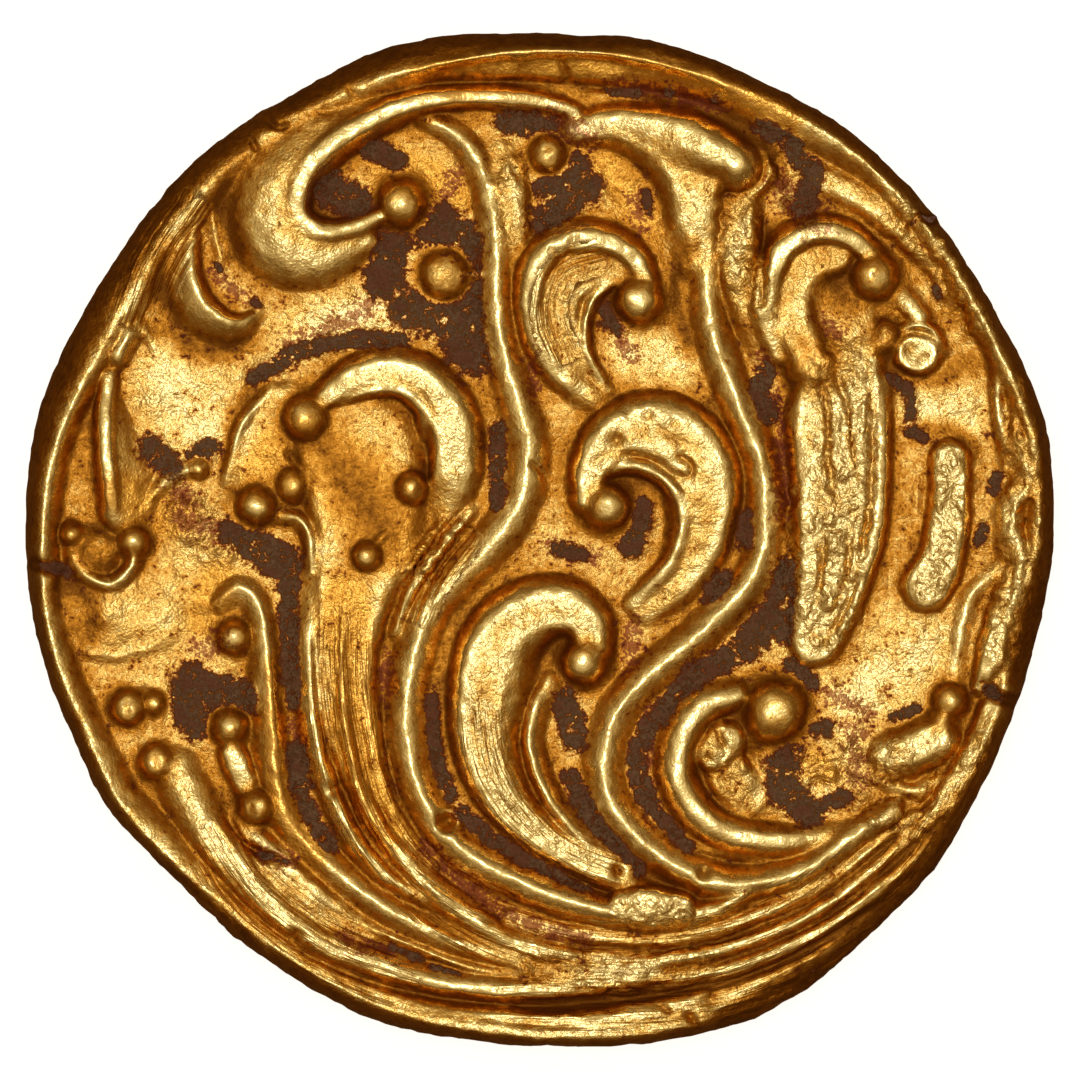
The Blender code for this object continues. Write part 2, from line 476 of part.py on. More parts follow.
def reverse_forms():
    """The plain commas, pellets and boss of the underside."""
    ridges = []
    beads = [BOSS]
    for start in np.arange(COMMAS) * 360 / COMMAS:
        crest = [at_angle(start + COMMA_SWEEP * share, COMMA_START + (COMMA_END - COMMA_START) * share)
                 for share in np.linspace(0, 1, COMMA_POINTS)]
        ridges.append(Ridge(crest, COMMA_LEFT, COMMA_RIGHT, COMMA_RISE, flat=COMMA_FLAT))
        beads.append(Bead(*at_angle(start + PELLET_TURN, PELLET_REACH), PELLET_RADIUS, PELLET_RISE))
    return ridges, beads


def underside_height(places):
    """The plain underside: a dish inside the flat ring it rests on."""
    radius, angle = polar(places)
    dish = DISH_DEPTH * (1 - np.clip(radius / DISH_RADIUS, 0, 1) ** DISH_FULLNESS)
    height = np.maximum(dish - relief_rise(places, *reverse_forms()), 0)
    fall = edge_fall(ring_value(angle, OUTLINE, 1) - radius, REST_INSET)
    return height + (EDGE_BOTTOM - height) * fall


def pressed_flan():
    """A ball of fine facets, pressed into the struck face above and the underside below."""
    shape = bmesh.new()
    levels = 2 * RINGS + 1
    bmesh.ops.create_uvsphere(shape, u_segments=AROUND, v_segments=levels, radius=1)
    ball = np.array([vert.co for vert in shape.verts])
    level = np.round(np.degrees(np.arccos(np.clip(ball[:, 2], -1, 1))) / 180 * levels)
    upper = level <= RINGS
    angle = np.arctan2(ball[:, 1], ball[:, 0])
    radius = np.where(upper, level, levels - level) / RINGS * ring_value(np.degrees(angle), OUTLINE, 1)
    places = np.column_stack([radius * np.cos(angle), radius * np.sin(angle)])
    heights = np.zeros(len(places))
    heights[upper] = top_height(places[upper])
    heights[~upper] = underside_height(places[~upper])
    for vert, (x, y), height in zip(shape.verts, places, heights):
        vert.co = (x, y, height)
    mesh = bpy.data.meshes.new("fine coin")
    shape.to_mesh(mesh)
    shape.free()
    return mesh


def gold_material():
    """Worn high-carat gold."""
    material = bpy.data.materials.new("worn gold")
    material.use_nodes = True
    shader = material.node_tree.nodes["Principled BSDF"]
    shader.inputs["Base Color"].default_value = GOLD
    shader.inputs["Metallic"].default_value = 1
    shader.inputs["Roughness"].default_value = GOLD_ROUGHNESS
    return material


def build_coin(collection):
    """One solid, with its triangles kept where the relief needs them."""
    coin = bpy.data.objects.new("coin", pressed_flan())
    collection.objects.link(coin)
    fewer = coin.modifiers.new("fewer triangles", "DECIMATE")
    fewer.ratio = TRIANGLES / (4 * RINGS * AROUND)
    fewer.use_collapse_triangulate = True
    evaluated = coin.evaluated_get(bpy.context.evaluated_depsgraph_get())
    mesh = bpy.data.meshes.new_from_object(evaluated)
    coin.modifiers.clear()
    for vert in mesh.vertices:
        if vert.co.z < LEVEL_WITHIN:
            vert.co.z = 0
    mesh.transform(Matrix.Scale(MM, 4))
    mesh.shade_smooth()
    mesh.set_sharp_from_angle(angle=radians(SHARP_ANGLE))
    mesh.materials.append(gold_material())
    coin.data = mesh


def main():
    for item in list(bpy.data.objects):
        bpy.data.objects.remove(item)
    collection = bpy.data.collections.new("gold coin")
    bpy.context.scene.collection.children.link(collection)
    build_coin(collection)


main()
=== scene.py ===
from collections import namedtuple
from math import cos, pi, radians, sin

import bmesh
import bpy
import numpy as np
from mathutils import Matrix, Vector


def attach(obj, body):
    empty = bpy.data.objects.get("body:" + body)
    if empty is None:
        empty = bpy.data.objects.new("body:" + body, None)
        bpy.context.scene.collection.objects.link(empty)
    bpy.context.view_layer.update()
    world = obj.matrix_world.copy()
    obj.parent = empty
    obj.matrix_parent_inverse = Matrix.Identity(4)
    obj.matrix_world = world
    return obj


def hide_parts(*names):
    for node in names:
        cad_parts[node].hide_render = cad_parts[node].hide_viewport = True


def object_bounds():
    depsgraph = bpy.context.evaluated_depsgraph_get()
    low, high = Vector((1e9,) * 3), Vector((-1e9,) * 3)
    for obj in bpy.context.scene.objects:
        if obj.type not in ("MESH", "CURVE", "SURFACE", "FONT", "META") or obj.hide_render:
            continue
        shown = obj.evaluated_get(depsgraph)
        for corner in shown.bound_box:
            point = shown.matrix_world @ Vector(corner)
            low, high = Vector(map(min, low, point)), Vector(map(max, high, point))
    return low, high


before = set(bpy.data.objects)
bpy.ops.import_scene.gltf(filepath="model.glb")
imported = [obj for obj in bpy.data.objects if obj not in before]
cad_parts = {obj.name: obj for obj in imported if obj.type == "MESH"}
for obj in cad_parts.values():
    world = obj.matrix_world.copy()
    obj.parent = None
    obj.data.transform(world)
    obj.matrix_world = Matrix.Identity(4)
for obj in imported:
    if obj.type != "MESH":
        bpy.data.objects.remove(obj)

# An ancient gold coin: a thick hand-struck flan with whirling tendrils, curls and pellets in high relief.
# Lengths are in millimetres until the finished mesh is made. The struck face looks up, X runs to its
# right and Y to its top, and the underside lies on z = 0.

CAD_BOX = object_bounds()

# Metres in a millimetre, and millimetres in a metre
MM = 0.001
TO_MM = 1000.0

# Flan: heights of the field and of the edge's widest line, and how full its rounding is
FIELD_HEIGHT = 1.65
FIELD_DOME = 0.12
FLAN_RADIUS = 9.0
EDGE_HEIGHT = 1.0
EDGE_FULLNESS = 1.6

# Underside: a flat ring that the coin rests on, round a shallow dish
REST_INSET = 0.9
DISH_RADIUS = 6.0
DISH_DEPTH = 0.3
DISH_FULLNESS = 4

# Relief: how softly its forms run into each other and into the field
BLEND = 0.06
FILLET = 0.05

# Beads: how full their dome is, how far their skirt reaches, in bead radii, and how high it stands, how
# softly dome and skirt meet, and the rise from which a bead's top is polished
BEAD_FULLNESS = 2.6
SKIRT = 1.5
SKIRT_RISE = 0.7
BEAD_FOOT = 0.16
POLISHED_RISE = 0.3

# Curves: into how many parts they are cut between two points, and how far apart their steps lie
CURVE_PARTS = 16
PATH_STEP = 0.1

# Curves of values round the coin: the length of a degree on them, and how far apart their steps lie
DEGREE_LENGTH = 0.02
RING_STEP = 0.02

# The sheet on which the relief is drawn: half its side, and the distance between its places
SHEET_HALF = 9.4
SHEET_STEP = 0.02

# Keeps a sum from dividing by nothing
TINY = 1e-9

# Mesh: how finely the ball is cut before it is pressed, from which height on it becomes the struck face,
# and how many triangles are kept
BALL_CUTS = 9
BALL_MIDDLE = -1e-4
TRIANGLES = 190000

# How far wear has rounded the struck face
WORN_SOFT = 0.035

# Fine lines beside their guides: how soon they set in along a guide, how far each guide's noise is moved
# off the last one's, how much it is drawn out along the guide, and the strengths between which it sets in
LINE_ENDS = 6
LINE_SHIFT = 7.3
LINE_STRETCH = 0.06
LINES_SET_IN = (0, .35)

# The strengths of their fields between which crumpled metal and the deposits' crust set in
CRUMPLE_SETS_IN = (0, .6)
CRUST_SETS_IN = (.1, .5)

# What counts as a hollow or a crest: the width looked at, and the depth or rise that counts as full
HOLLOW_WIDTH = 0.3
HOLLOW_DEPTH = 0.12
CREST_WIDTH = 0.12
CREST_RISE = 0.05

# How high up the forms' feet the deposits reach in full, their share above that, and how far they fall off
DEPOSIT_DEPTH = 0.12
DEPOSIT_ABOVE = 0.5
DEPOSIT_FALL = 0.3

# How soon the painted shade on the edge's rounded bevel sets in
EDGE_SHADE = 3

# How far in from the outline the metal is crumpled no more
EDGE_CALM = 0.28

# The slope that counts as steep, and how much less it is polished
STEEP = 0.7
FLANK_DULL = 0.8

# The clean ring round a bead, free of deposits and browned with painted shade: how far it reaches, in bead
# radii, and the painted shade on it
RING_REACH = 1.5
RING_SHADE = 1.6

# Colours
POLISHED_GOLD = (1.0, 0.79, 0.36, 1)
WORN_GOLD = (0.82, 0.51, 0.14, 1)
AMBER_GOLD = (0.84, 0.42, 0.06, 1)
# Brown and dark film colours, which also paint shade in hollows, grooves, on the edge and on steep flanks
BROWN_FILM_AND_SHADE = (0.58, 0.24, 0.025, 1)
RED_STAIN = (0.26, 0.055, 0.035, 1)
DARK_FILM_AND_SHADE = (0.27, 0.1, 0.012, 1)
DARK_EARTH = (0.074, 0.035, 0.018, 1)
PALE_EARTH = (0.21, 0.112, 0.06, 1)
RED_EARTH = (0.17, 0.05, 0.022, 1)

# Finish: the fields that the mesh carries, and clouds of noise with their size and detail. Where something
# sets in is given by two strengths, and by its shares before and after them if those aren't 0 and 1.
FIELDS = ("hollow", "crest", "steep", "deposit", "stain", "amber", "bare", "filmed_and_shaded", "crumple", "lines",
          "across", "down")
CLOUDS = {"cloudy": (.8, 3.0), "mottled": (.22, 3.0), "gritty": (.05, 2.0), "grain": (.1, 3.0)}

# Streaks along the fine lines: their width. Folds in crumpled metal: size, detail and where they set in
STREAK_WIDTH = 0.07
FOLDS = (.24, 3.0)
FOLDS_SET_IN = (0, .5)

# Brown film, and painted shade from hollows, patches and steep flanks: how thick it starts, and what each
# field and cloud adds
FILM_START = 0.48
FILM_AND_SHADE_WEIGHTS = {"hollow": .62, "filmed_and_shaded": .7, "steep": .3, "crest": -.68, "streaks": -1.2, "bare": -.35,
                "cloudy": .7, "grain": .8, "mottled": .9}

# Dark deposits: the most that a patch adds, what is taken off where patches are weak or missing, what makes
# them ragged, where they and their brown fringe set in, and how much film and red the fringe has
DEPOSIT_CORE = 0.5
DEPOSIT_FREE = (0, .7, .78, 0)
RAGGED_WEIGHTS = {"mottled": 2.2, "cloudy": 1.1, "grain": 1.4, "gritty": .9, "crest": -.25}
DEPOSIT_AT = (-.02, .46)
FRINGE_AT = (-.42, .05)
FRINGE_FILM = 0.6
FRINGE_RED = 0.65

# Reddish stains: what makes them uneven, where they set in, and how strong they are
STAIN_WEIGHTS = {"gritty": 1.2, "grain": 2.0, "mottled": 1.4}
STAIN_AT = (.5, .8)
STAIN_RED = 0.7

# The gold's layers over polished metal, the film's also carrying painted shade: what they follow, where
# they set in, and their colour
AMBER_WEIGHTS = {"cloudy": .8}
GOLD_LAYERS = [
    ("film_and_shade", (0, .5), WORN_GOLD), ("amber", (.1, .6, 0, .8), AMBER_GOLD), ("film_and_shade", (.4, 1), BROWN_FILM_AND_SHADE),
    ("film_and_shade", (.85, 1.5), DARK_FILM_AND_SHADE),
]

# Earth of the deposits: what makes it pale and where, and what makes it rusty and where
EARTH_WEIGHTS = {"gritty": 1, "grain": 1, "mottled": 1}
EARTH_AT = (-.35, .35)
RUST_WEIGHTS = {"cloudy": 1, "mottled": 1}
RUST_HIDDEN = -0.25
RUST_AT = (-.28, -.05, 0, .75)

# Roughness of bare gold, what film, grit and stains add to it, and that of earth
GOLD_ROUGH = 0.13
FILM_ROUGH = 0.26
GRIT_ROUGH = 0.2
RED_ROUGH = 0.15
EARTH_ROUGH = 0.85

# Bumps too small for the mesh: worked metal, grain, marks and earth, less of it on crests and steep flanks
WORKED_FIELD = 1.4
WORKED_AT = (.4, .65, .25, 1)
WORKED_SIZE = 0.13
WORKED_BUMP = 1.2
BUMP_START = -0.6
BUMP_WEIGHTS = {"mottled": .8, "gritty": 1, "grain": 1.4}
POLISH_AT = (.1, .6, 1, .4)
STEEP_BUMP = -0.6
MARK_WEIGHTS = {"streaks": 3.5, "folds": 5.5}
EARTH_BUMP = 3.0
BUMP_STRENGTH = 0.9
BUMP_DEPTH = 0.012

# Light by the angle from straight above, in degrees: its strength and colour
DOME_LIGHT = [
    (0, 6.5, (1, .98, .92)), (4, 5.4, (1, .98, .92)), (8, 2.2, (1, .95, .85)), (14, 1.1, (1, .91, .72)),
    (24, .7, (1, .84, .56)), (38, .49, (1, .76, .43)), (54, .33, (1, .68, .32)), (70, .18, (1, .58, .2)),
    (90, .12, (1, .52, .15)), (180, .07, (1, .5, .14)),
]

# The strength that the dome's colours are a share of, and by how many degrees its middle leans to x and y
DOME_STRENGTH = 7.0
DOME_LEAN = (-2, 4)

# Floor, in metres
FLOOR_RADIUS = 1.0
FLOOR_SIDES = 64
FLOOR_COLOR = (.8, .8, .8, 1)
FLOOR_GLOW = 0.8

# Camera: its lens and sensor, the width seen at the coin, and the nearest that it sees, in metres
LENS = 400
SENSOR = 36
VIEW_WIDTH = 18.95
NEAREST = 0.01

WHITE = (1, 1, 1, 1)

# Outline of the flan: angle in degrees, radius
OUTLINE = [
    (0, 9.03), (13, 9.12), (27, 8.96), (38, 8.97), (50, 9.03), (65, 8.95), (77, 9), (90, 8.91),
    (105, 9.07), (120, 8.99), (133, 9.03), (150, 8.96), (167, 9.09), (180, 9.05), (195, 8.98),
    (204, 8.93), (211, 8.96), (222, 8.78), (238, 8.83), (252, 8.93), (263, 8.89), (272, 8.92),
    (281, 9.04), (295, 9.21), (312, 9.04), (321, 9.01), (330, 8.92), (347, 8.89),
]

# Raised rim: angle, how far its crest lies in from the edge, its rise, the width of its inner side
RIM = [
    (0, .33, .25, .25), (20, .33, .32, .25), (30, .27, .3, .3), (50, .3, .3, .35), (60, .3, .3, .5),
    (76, .26, .3, .65), (86, .32, .28, .75), (96, .37, .28, .7), (110, .52, .3, .4), (120, .44, .29, .35),
    (130, .5, .28, .4), (146, .6, .28, .4), (158, .62, .32, .3), (173, .4, .32, .3), (190, .26, .28, .35),
    (205, .3, .28, .4), (215, .25, .3, .5), (225, .25, .3, .5), (235, .3, .3, .4), (246, .32, .32, .35),
    (257, .26, .34, .5), (270, .2, .36, .6), (280, .22, .34, .5), (288, .28, .25, .4), (294, .5, .12, .4),
    (305, .6, .08, .5), (320, .5, .1, .4), (334, .38, .28, .3), (341, .35, .25, .3), (347, .45, .15, .3),
    (353, .45, .2, .3),
]

# A ridge: the points its crest runs through, the widths of its left and right flanks and its rise, each
# from start to end, then how full its section is and the share of its half width that is flat, each once
# for both flanks or for the left and the right
Ridge = namedtuple("Ridge", "crest left right rise fullness flat", defaults=(1.8, 0.0))

# A bead: its middle, radius and rise
Bead = namedtuple("Bead", "x y radius rise")

# Ridges of the struck face, by what they form
UPPER_WAVES = {
    "west wave body": Ridge(
        [(-3.1, 5.22), (-3.75, 5.03), (-4.35, 5.18), (-4.62, 5.65), (-4.5, 6.2), (-4, 6.78), (-3.1, 7.3),
         (-2.2, 7.58)],
        (.3, .65, .9, .98, 1, .85, .6, .45), (.3, .45, .5, .5, .45, .35, .2),
        (.22, .36, .43, .43, .38, .32, .25), (1.8, 2.6), (.06, .5)),
    "west wave lip": Ridge(
        [(-2.8, 5.7), (-3.3, 5.48), (-3.85, 5.45), (-4.2, 5.72), (-4.12, 6.3), (-3.68, 6.85), (-1.9, 7.7),
         (.1, 7.68), (.6, 7.52)],
        (.18, .25, .34, .36, .3, .24, .2, .16), (.14, .2, .2, .18, .2, .22, .18),
        (.28, .42, .49, .48, .44, .38, .31, .2), 2.4, (.45, .35)),
    "crescent": Ridge(
        [(-6.08, 5.45), (-6.1, 4.9), (-6.02, 4.5), (-5.85, 4.15), (-5.55, 3.9), (-5.25, 3.84),
         (-4.95, 3.98)],
        (.12, .14, .15, .08), (.3, .55, .66, .62, .5, .14), (.16, .3, .38, .4, .36, .1), (2.4, 1.25), .1),
    "crescent folds": Ridge(
        [(-5.6, 6.45), (-5.72, 6), (-5.72, 5.5), (-5.58, 4.9)], .08, .1, (.08, .13, .08)),
    "inner crescent fold": Ridge([(-5.45, 6.2), (-5.56, 5.6), (-5.5, 5)], .07, .07, (.06, .1, .06)),
    "east wave": Ridge(
        [(.6, 7.25), (1.2, 7.38), (2, 7.3), (2.8, 7), (3.2, 6.76), (3.46, 6.56)],
        (.25, .28, .35, .45, .5, .5), (.35, .45, .7, .95, .8, .52), (.2, .3, .36, .44, .52, .54),
        (2.2, 1.6), (.1, .15)),
    "east wave tail": Ridge(
        [(3.82, 6.98), (4.02, 6.62), (3.96, 6.25), (3.62, 6), (3.3, 5.85)], .1, .16, (.1, .2, .2, .14)),
    "east stem": Ridge(
        [(2.95, 6.7), (2.85, 6.1), (2.8, 5.4), (2.9, 4.7)],
        (.5, .42, .36, .3), (.5, .5, .45, .3), (.32, .28, .25, .16), 2, .35),
    "east stem edge": Ridge(
        [(2.28, 5.3), (2.22, 4.8), (2.28, 4.3), (2.4, 3.9)], .14, .16, (.04, .07, .04)),
    "crumpled plate": Ridge(
        [(3.52, 5.9), (3.5, 4.8), (3.68, 4), (3.88, 3.3)],
        (.4, .42, .4, .25), (.5, .55, .45, .25), (.16, .24, .22, .1), 1.6, .25),
    "east shoulder": Ridge(
        [(.75, 7.1), (1.4, 7.08), (1.95, 6.82), (2.34, 6.3), (2.5, 5.6), (2.56, 4.9)],
        (.3, .5, .7, .8, .6, .4), (.2, .3, .38, .36, .36, .3), (.2, .28, .32, .3, .26, .12), (2.4, 1.5),
        (.6, 0)),
    "bead stub": Ridge([(-1.5, 4.68), (-1, 4.66)], .12, .12, .16),
}

LONG_TENDRILS = {
    "long tendril": Ridge(
        [(3, 5.5), (2.95, 5), (2.95, 4.2), (3.08, 3.5), (3.65, 2), (3.9, 1.3), (3.95, .5), (3.88, -.3),
         (3.6, -.85), (2.5, -1.9), (1.8, -2.5), (1.3, -3.15), (1.12, -4), (1.28, -4.65), (2, -5.45),
         (3.2, -6.03), (4.1, -5.95), (4.8, -5.68), (5.4, -5.25), (6.2, -4.72)],
        (.25, .34, .34, .36, .38, .38, .38, .38, .38, .38, .34, .22),
        (.25, .36, .38, .38, .38, .38, .4, .4, .38, .36, .34, .22),
        (.16, .28, .3, .28, .28, .28, .3, .34, .36, .2), 1.5, (0, .06)),
    "s tendril": Ridge(
        [(-2.1, 7.42), (-1.5, 7.12), (-1.08, 6.6), (-.88, 6), (-.78, 5.2), (-.76, 4.3), (-.66, 3.4),
         (-.38, 2.4), (-.2, 1.7), (-.2, 1.2), (-.4, .55), (-.85, -.08), (-1.4, -.62), (-1.9, -1.2),
         (-2.2, -2), (-2.34, -3.1), (-2.24, -4), (-1.95, -4.7), (-1.45, -5.35), (0, -6.15), (1.2, -6.5),
         (2.2, -6.62), (3.1, -6.47), (3.6, -6.2)],
        (.22, .3, .34, .36, .4, .4, .38, .36, .34, .32, .3, .25),
        (.22, .32, .36, .4, .44, .42, .42, .42, .42, .4, .38, .25),
        (.16, .24, .28, .28, .26, .26, .29, .3, .33, .38, .38, .3), 1.5, .04),
    "s tendril shelf": Ridge(
        [(-.72, 6.75), (-.55, 6.15), (-.5, 5.4), (-.62, 4.6)],
        (.3, .34, .34, .25), (.3, .3, .3, .25), (.08, .17, .17, .1), 2.2, .4),
    "hook tendril": Ridge(
        [(-5.6, -1.05), (-5.35, -.82), (-5.05, -.92), (-4.85, -1.35), (-4.76, -2), (-4.7, -3),
         (-4.63, -4), (-4.48, -4.75), (-4.15, -5.25), (-3.3, -6.05), (-2, -6.83), (-.4, -7.38)],
        (.18, .2, .24, .28, .3, .32, .3, .28), (.3, .4, .42, .42, .42, .38, .34, .3),
        (.16, .26, .28, .28, .22, .28, .28, .22), 1.5),
    "broad tendril": Ridge(
        [(-6.4, -4.05), (-6.05, -4.75), (-5.6, -5.45), (-4.5, -6.62), (-3.95, -7.05), (-3.2, -7.4),
         (-1.8, -7.8), (-.9, -7.9), (0, -7.92), (1, -7.8)],
        (.5, .5, .46, .44, .4, .34, .3, .26), (.5, .46, .38, .34, .3, .28, .25),
        (.2, .31, .36, .35, .32, .3, .26, .16), (1.7, 1.6), (.22, .15)),
    "broad tendril shelf": Ridge(
        [(-5.75, -4.65), (-5.25, -5.2), (-4.55, -5.9), (-3.85, -6.45), (-3.05, -6.9)],
        (.25, .46, .5, .4, .3), (.4, .5, .5, .45, .3), (.03, .2, .25, .23, .12), 2, .5),
}

MIDDLE_CURLS = {
    "upper curl body": Ridge(
        [(1.35, 4.78), (.85, 4.74), (.42, 4.45), (.3, 3.9), (.45, 3.3), (.95, 2.65)],
        (.4, .44, .46, .44, .4, .3), .44, (.24, .28, .28, .26, .22, .08), 2.6, .66),
    "upper curl lip": Ridge(
        [(1.87, 4.45), (1.55, 5), (.95, 5.24), (.35, 5.14), (0, 4.8), (-.11, 4.3), (-.06, 3.8),
         (.25, 3.1), (1, 2.5)],
        (.18, .22, .22, .18, .16), (.32, .4, .42, .4, .34), (.29, .39, .43, .41, .34, .26, .12),
        (2.4, 1.7), (.4, .34)),
    "upper curl inner": Ridge(
        [(1.3, 4.5), (.95, 4.22), (.8, 3.7), (.88, 3.2), (1.2, 2.65)],
        .1, .2, (.24, .31, .29, .23, .12), (2.4, 1.6)),
    "middle curl": Ridge(
        [(.85, .72), (.96, 1.3), (1.35, 1.76), (1.86, 1.92), (2.4, 1.76), (2.8, 1.36), (2.96, .8),
         (2.9, .1), (2.55, -.55), (1.85, -1.15)],
        (.34, .48, .66, .74, .74, .66, .52, .48, .45, .38), (.3, .42, .6, .75, .82, .8, .7, .5, .36),
        (.34, .4, .41, .41, .39, .35, .28, .2, .1), 2.2, (.45, .4)),
    "middle curl inner": Ridge(
        [(1.05, 1.12), (1.45, 1.3), (1.95, 1.22), (2.34, .88), (2.48, .3), (2.28, -.35), (1.6, -1.1)],
        .24, .16, (.3, .4, .4, .36, .3, .12), 2.2, .2),
    "comma": Ridge(
        [(.88, -1.9), (.75, -1.42), (.25, -1.18), (-.38, -1.33), (-.88, -1.8), (-1.15, -2.5),
         (-1.2, -3.3), (-1.04, -4), (-.62, -4.7), (0, -5.2), (.8, -5.65), (2.05, -6.25)],
        (.35, .6, .85, 1.1, 1.1, .9, .7, .52, .4, .3, .12),
        (.45, .58, .6, .56, .45, .4, .36, .36, .34, .3, .12),
        (.36, .4, .43, .43, .41, .39, .36, .32, .27, .14), (1.7, 2.2), (.4, .35)),
    "comma inner": Ridge(
        [(.15, -2.45), (-.1, -2.9), (-.2, -3.5), (-.05, -4.15), (.35, -4.85), (.95, -5.45), (1.5, -5.8)],
        .3, .14, (.14, .28, .32, .32, .3, .24), (1.6, 2.2)),
}

LEFT_FORMS = {
    "left plate": Ridge(
        [(-3.4, 1.6), (-3.3, .5), (-3.38, -1), (-3.4, -3), (-2.95, -4.5)],
        (1.4, 1.45, 1.3, .85, .6, .55, .5, .4), (1, .85, .72, .68, .68, .62, .5, .4),
        (.2, .24, .24, .23, .22, .18), 2.4, .6),
    "left plate edge": Ridge(
        [(-4.55, .42), (-4.22, .38), (-4.02, .05), (-4, -.6)], .12, .16, (.16, .24, .26, .22)),
    "left cheek": Ridge(
        [(-4.4, 2.3), (-4.85, 1.75), (-4.95, 1.2), (-4.9, .8)], .55, .5, (.1, .13, .13), 2.4, .6),
    "left cheek edge": Ridge(
        [(-4.7, 2.65), (-5.22, 2), (-5.4, 1.4), (-5.5, 1)], .1, .16, (.1, .2, .18, .1)),
    "left curl": Ridge(
        [(-3.8, 2.48), (-3.3, 2.85), (-2.7, 3), (-2.15, 2.86), (-1.68, 2.42), (-1.44, 1.8), (-1.46, 1.2),
         (-1.66, .7), (-2, .3)],
        (.28, .38, .44, .5, .5, .46, .34), (.25, .35, .45, .58, .62, .6, .5, .4),
        (.3, .38, .4, .38, .35, .25, .04), (1.8, 2.4), (.3, .5)),
    "left curl inner": Ridge(
        [(-3.55, 2.42), (-3, 2.6), (-2.5, 2.6), (-2.14, 2.32), (-2.02, 1.85)],
        .16, .14, (.25, .38, .39, .36, .22), 2.2),
    "outer stem": Ridge(
        [(-3.95, -.6), (-4.03, -2), (-3.95, -3.3), (-3.72, -4.2), (-3.38, -5), (-2.95, -5.6),
         (-2.45, -6.05), (-1.95, -6.3)], .18, (.3, .32, .32, .28), (.14, .26, .3, .32, .32, .3, .2), 1.6),
    "middle stem": Ridge(
        [(-3.4, -.6), (-3.47, -1.8), (-3.42, -3.2), (-3.2, -4.2), (-2.9, -4.9), (-2.45, -5.5),
         (-1.95, -6.05), (-.9, -6.85), (-.2, -7.15), (.6, -7.3)],
        (.18, .2, .25, .32, .3), (.18, .2, .28, .32, .3), (.2, .31, .34, .34, .33, .32, .2), 1.7),
    "inner stem": Ridge(
        [(-3.05, -1.3), (-3.1, -2.4), (-2.95, -3.7), (-2.7, -4.6), (-2.3, -5.3), (-1.9, -5.75)],
        (.2, .3, .3, .2), .14, (.18, .24, .25, .22, .14)),
    "first sliver": Ridge(
        [(-1.2, .5), (-1.65, -.02), (-2.05, -.55), (-2.38, -1.15), (-2.52, -1.6)],
        .14, .16, (.12, .24, .24, .18), 1.6),
    "second sliver": Ridge(
        [(-.95, .15), (-1.42, -.38), (-1.88, -1), (-2.12, -1.6)], .12, .14, (.1, .2, .2, .12)),
    "third sliver": Ridge(
        [(-1.72, .3), (-2.08, -.15), (-2.4, -.65), (-2.62, -1.1)], .13, .14, (.1, .18, .16, .08)),
    "spike": Ridge(
        [(-7.54, 2.8), (-7.6, 2.2), (-7.55, 1.4), (-7.42, .5)],
        (.16, .5, .8, .7), (.16, .26, .34), (.14, .27, .3, .28), (1.3, 1.8), (0, .4)),
    "pellet cradle": Ridge(
        [(-8.2, -.2), (-8.05, -.55), (-7.55, -.76), (-7.2, -.5), (-7.08, -.15)],
        .16, .22, (.16, .24, .28, .24)),
    "tongue": Ridge([(-8, -1.2), (-7.45, -1.3), (-6.8, -1.15)], .75, .72, (.1, .12, .08), 1.8, .25),
    "tongue hem": Ridge(
        [(-8.35, -1.6), (-8, -1.92), (-7.5, -2.02), (-6.95, -1.9), (-6.5, -1.65)],
        .14, .16, (.05, .09, .09, .04)),
    "small tendril": Ridge([(-5.98, 1.26), (-6.3, 1.18), (-6.7, .88), (-7, .4)], .15, .17, .14),
    "bead ridge": Ridge([(-5.4, -3.74), (-5.17, -4.28)], .28, .28, (.22, .2), 2.2, .4),
    "pellet tail": Ridge([(-2.95, -.15), (-2.76, .06), (-2.6, .34)], .1, .1, (.36, .3, .16)),
    "oval pellet": Ridge([(-7.2, 3.62), (-7.42, 3.22)], .24, .26, .28),
}

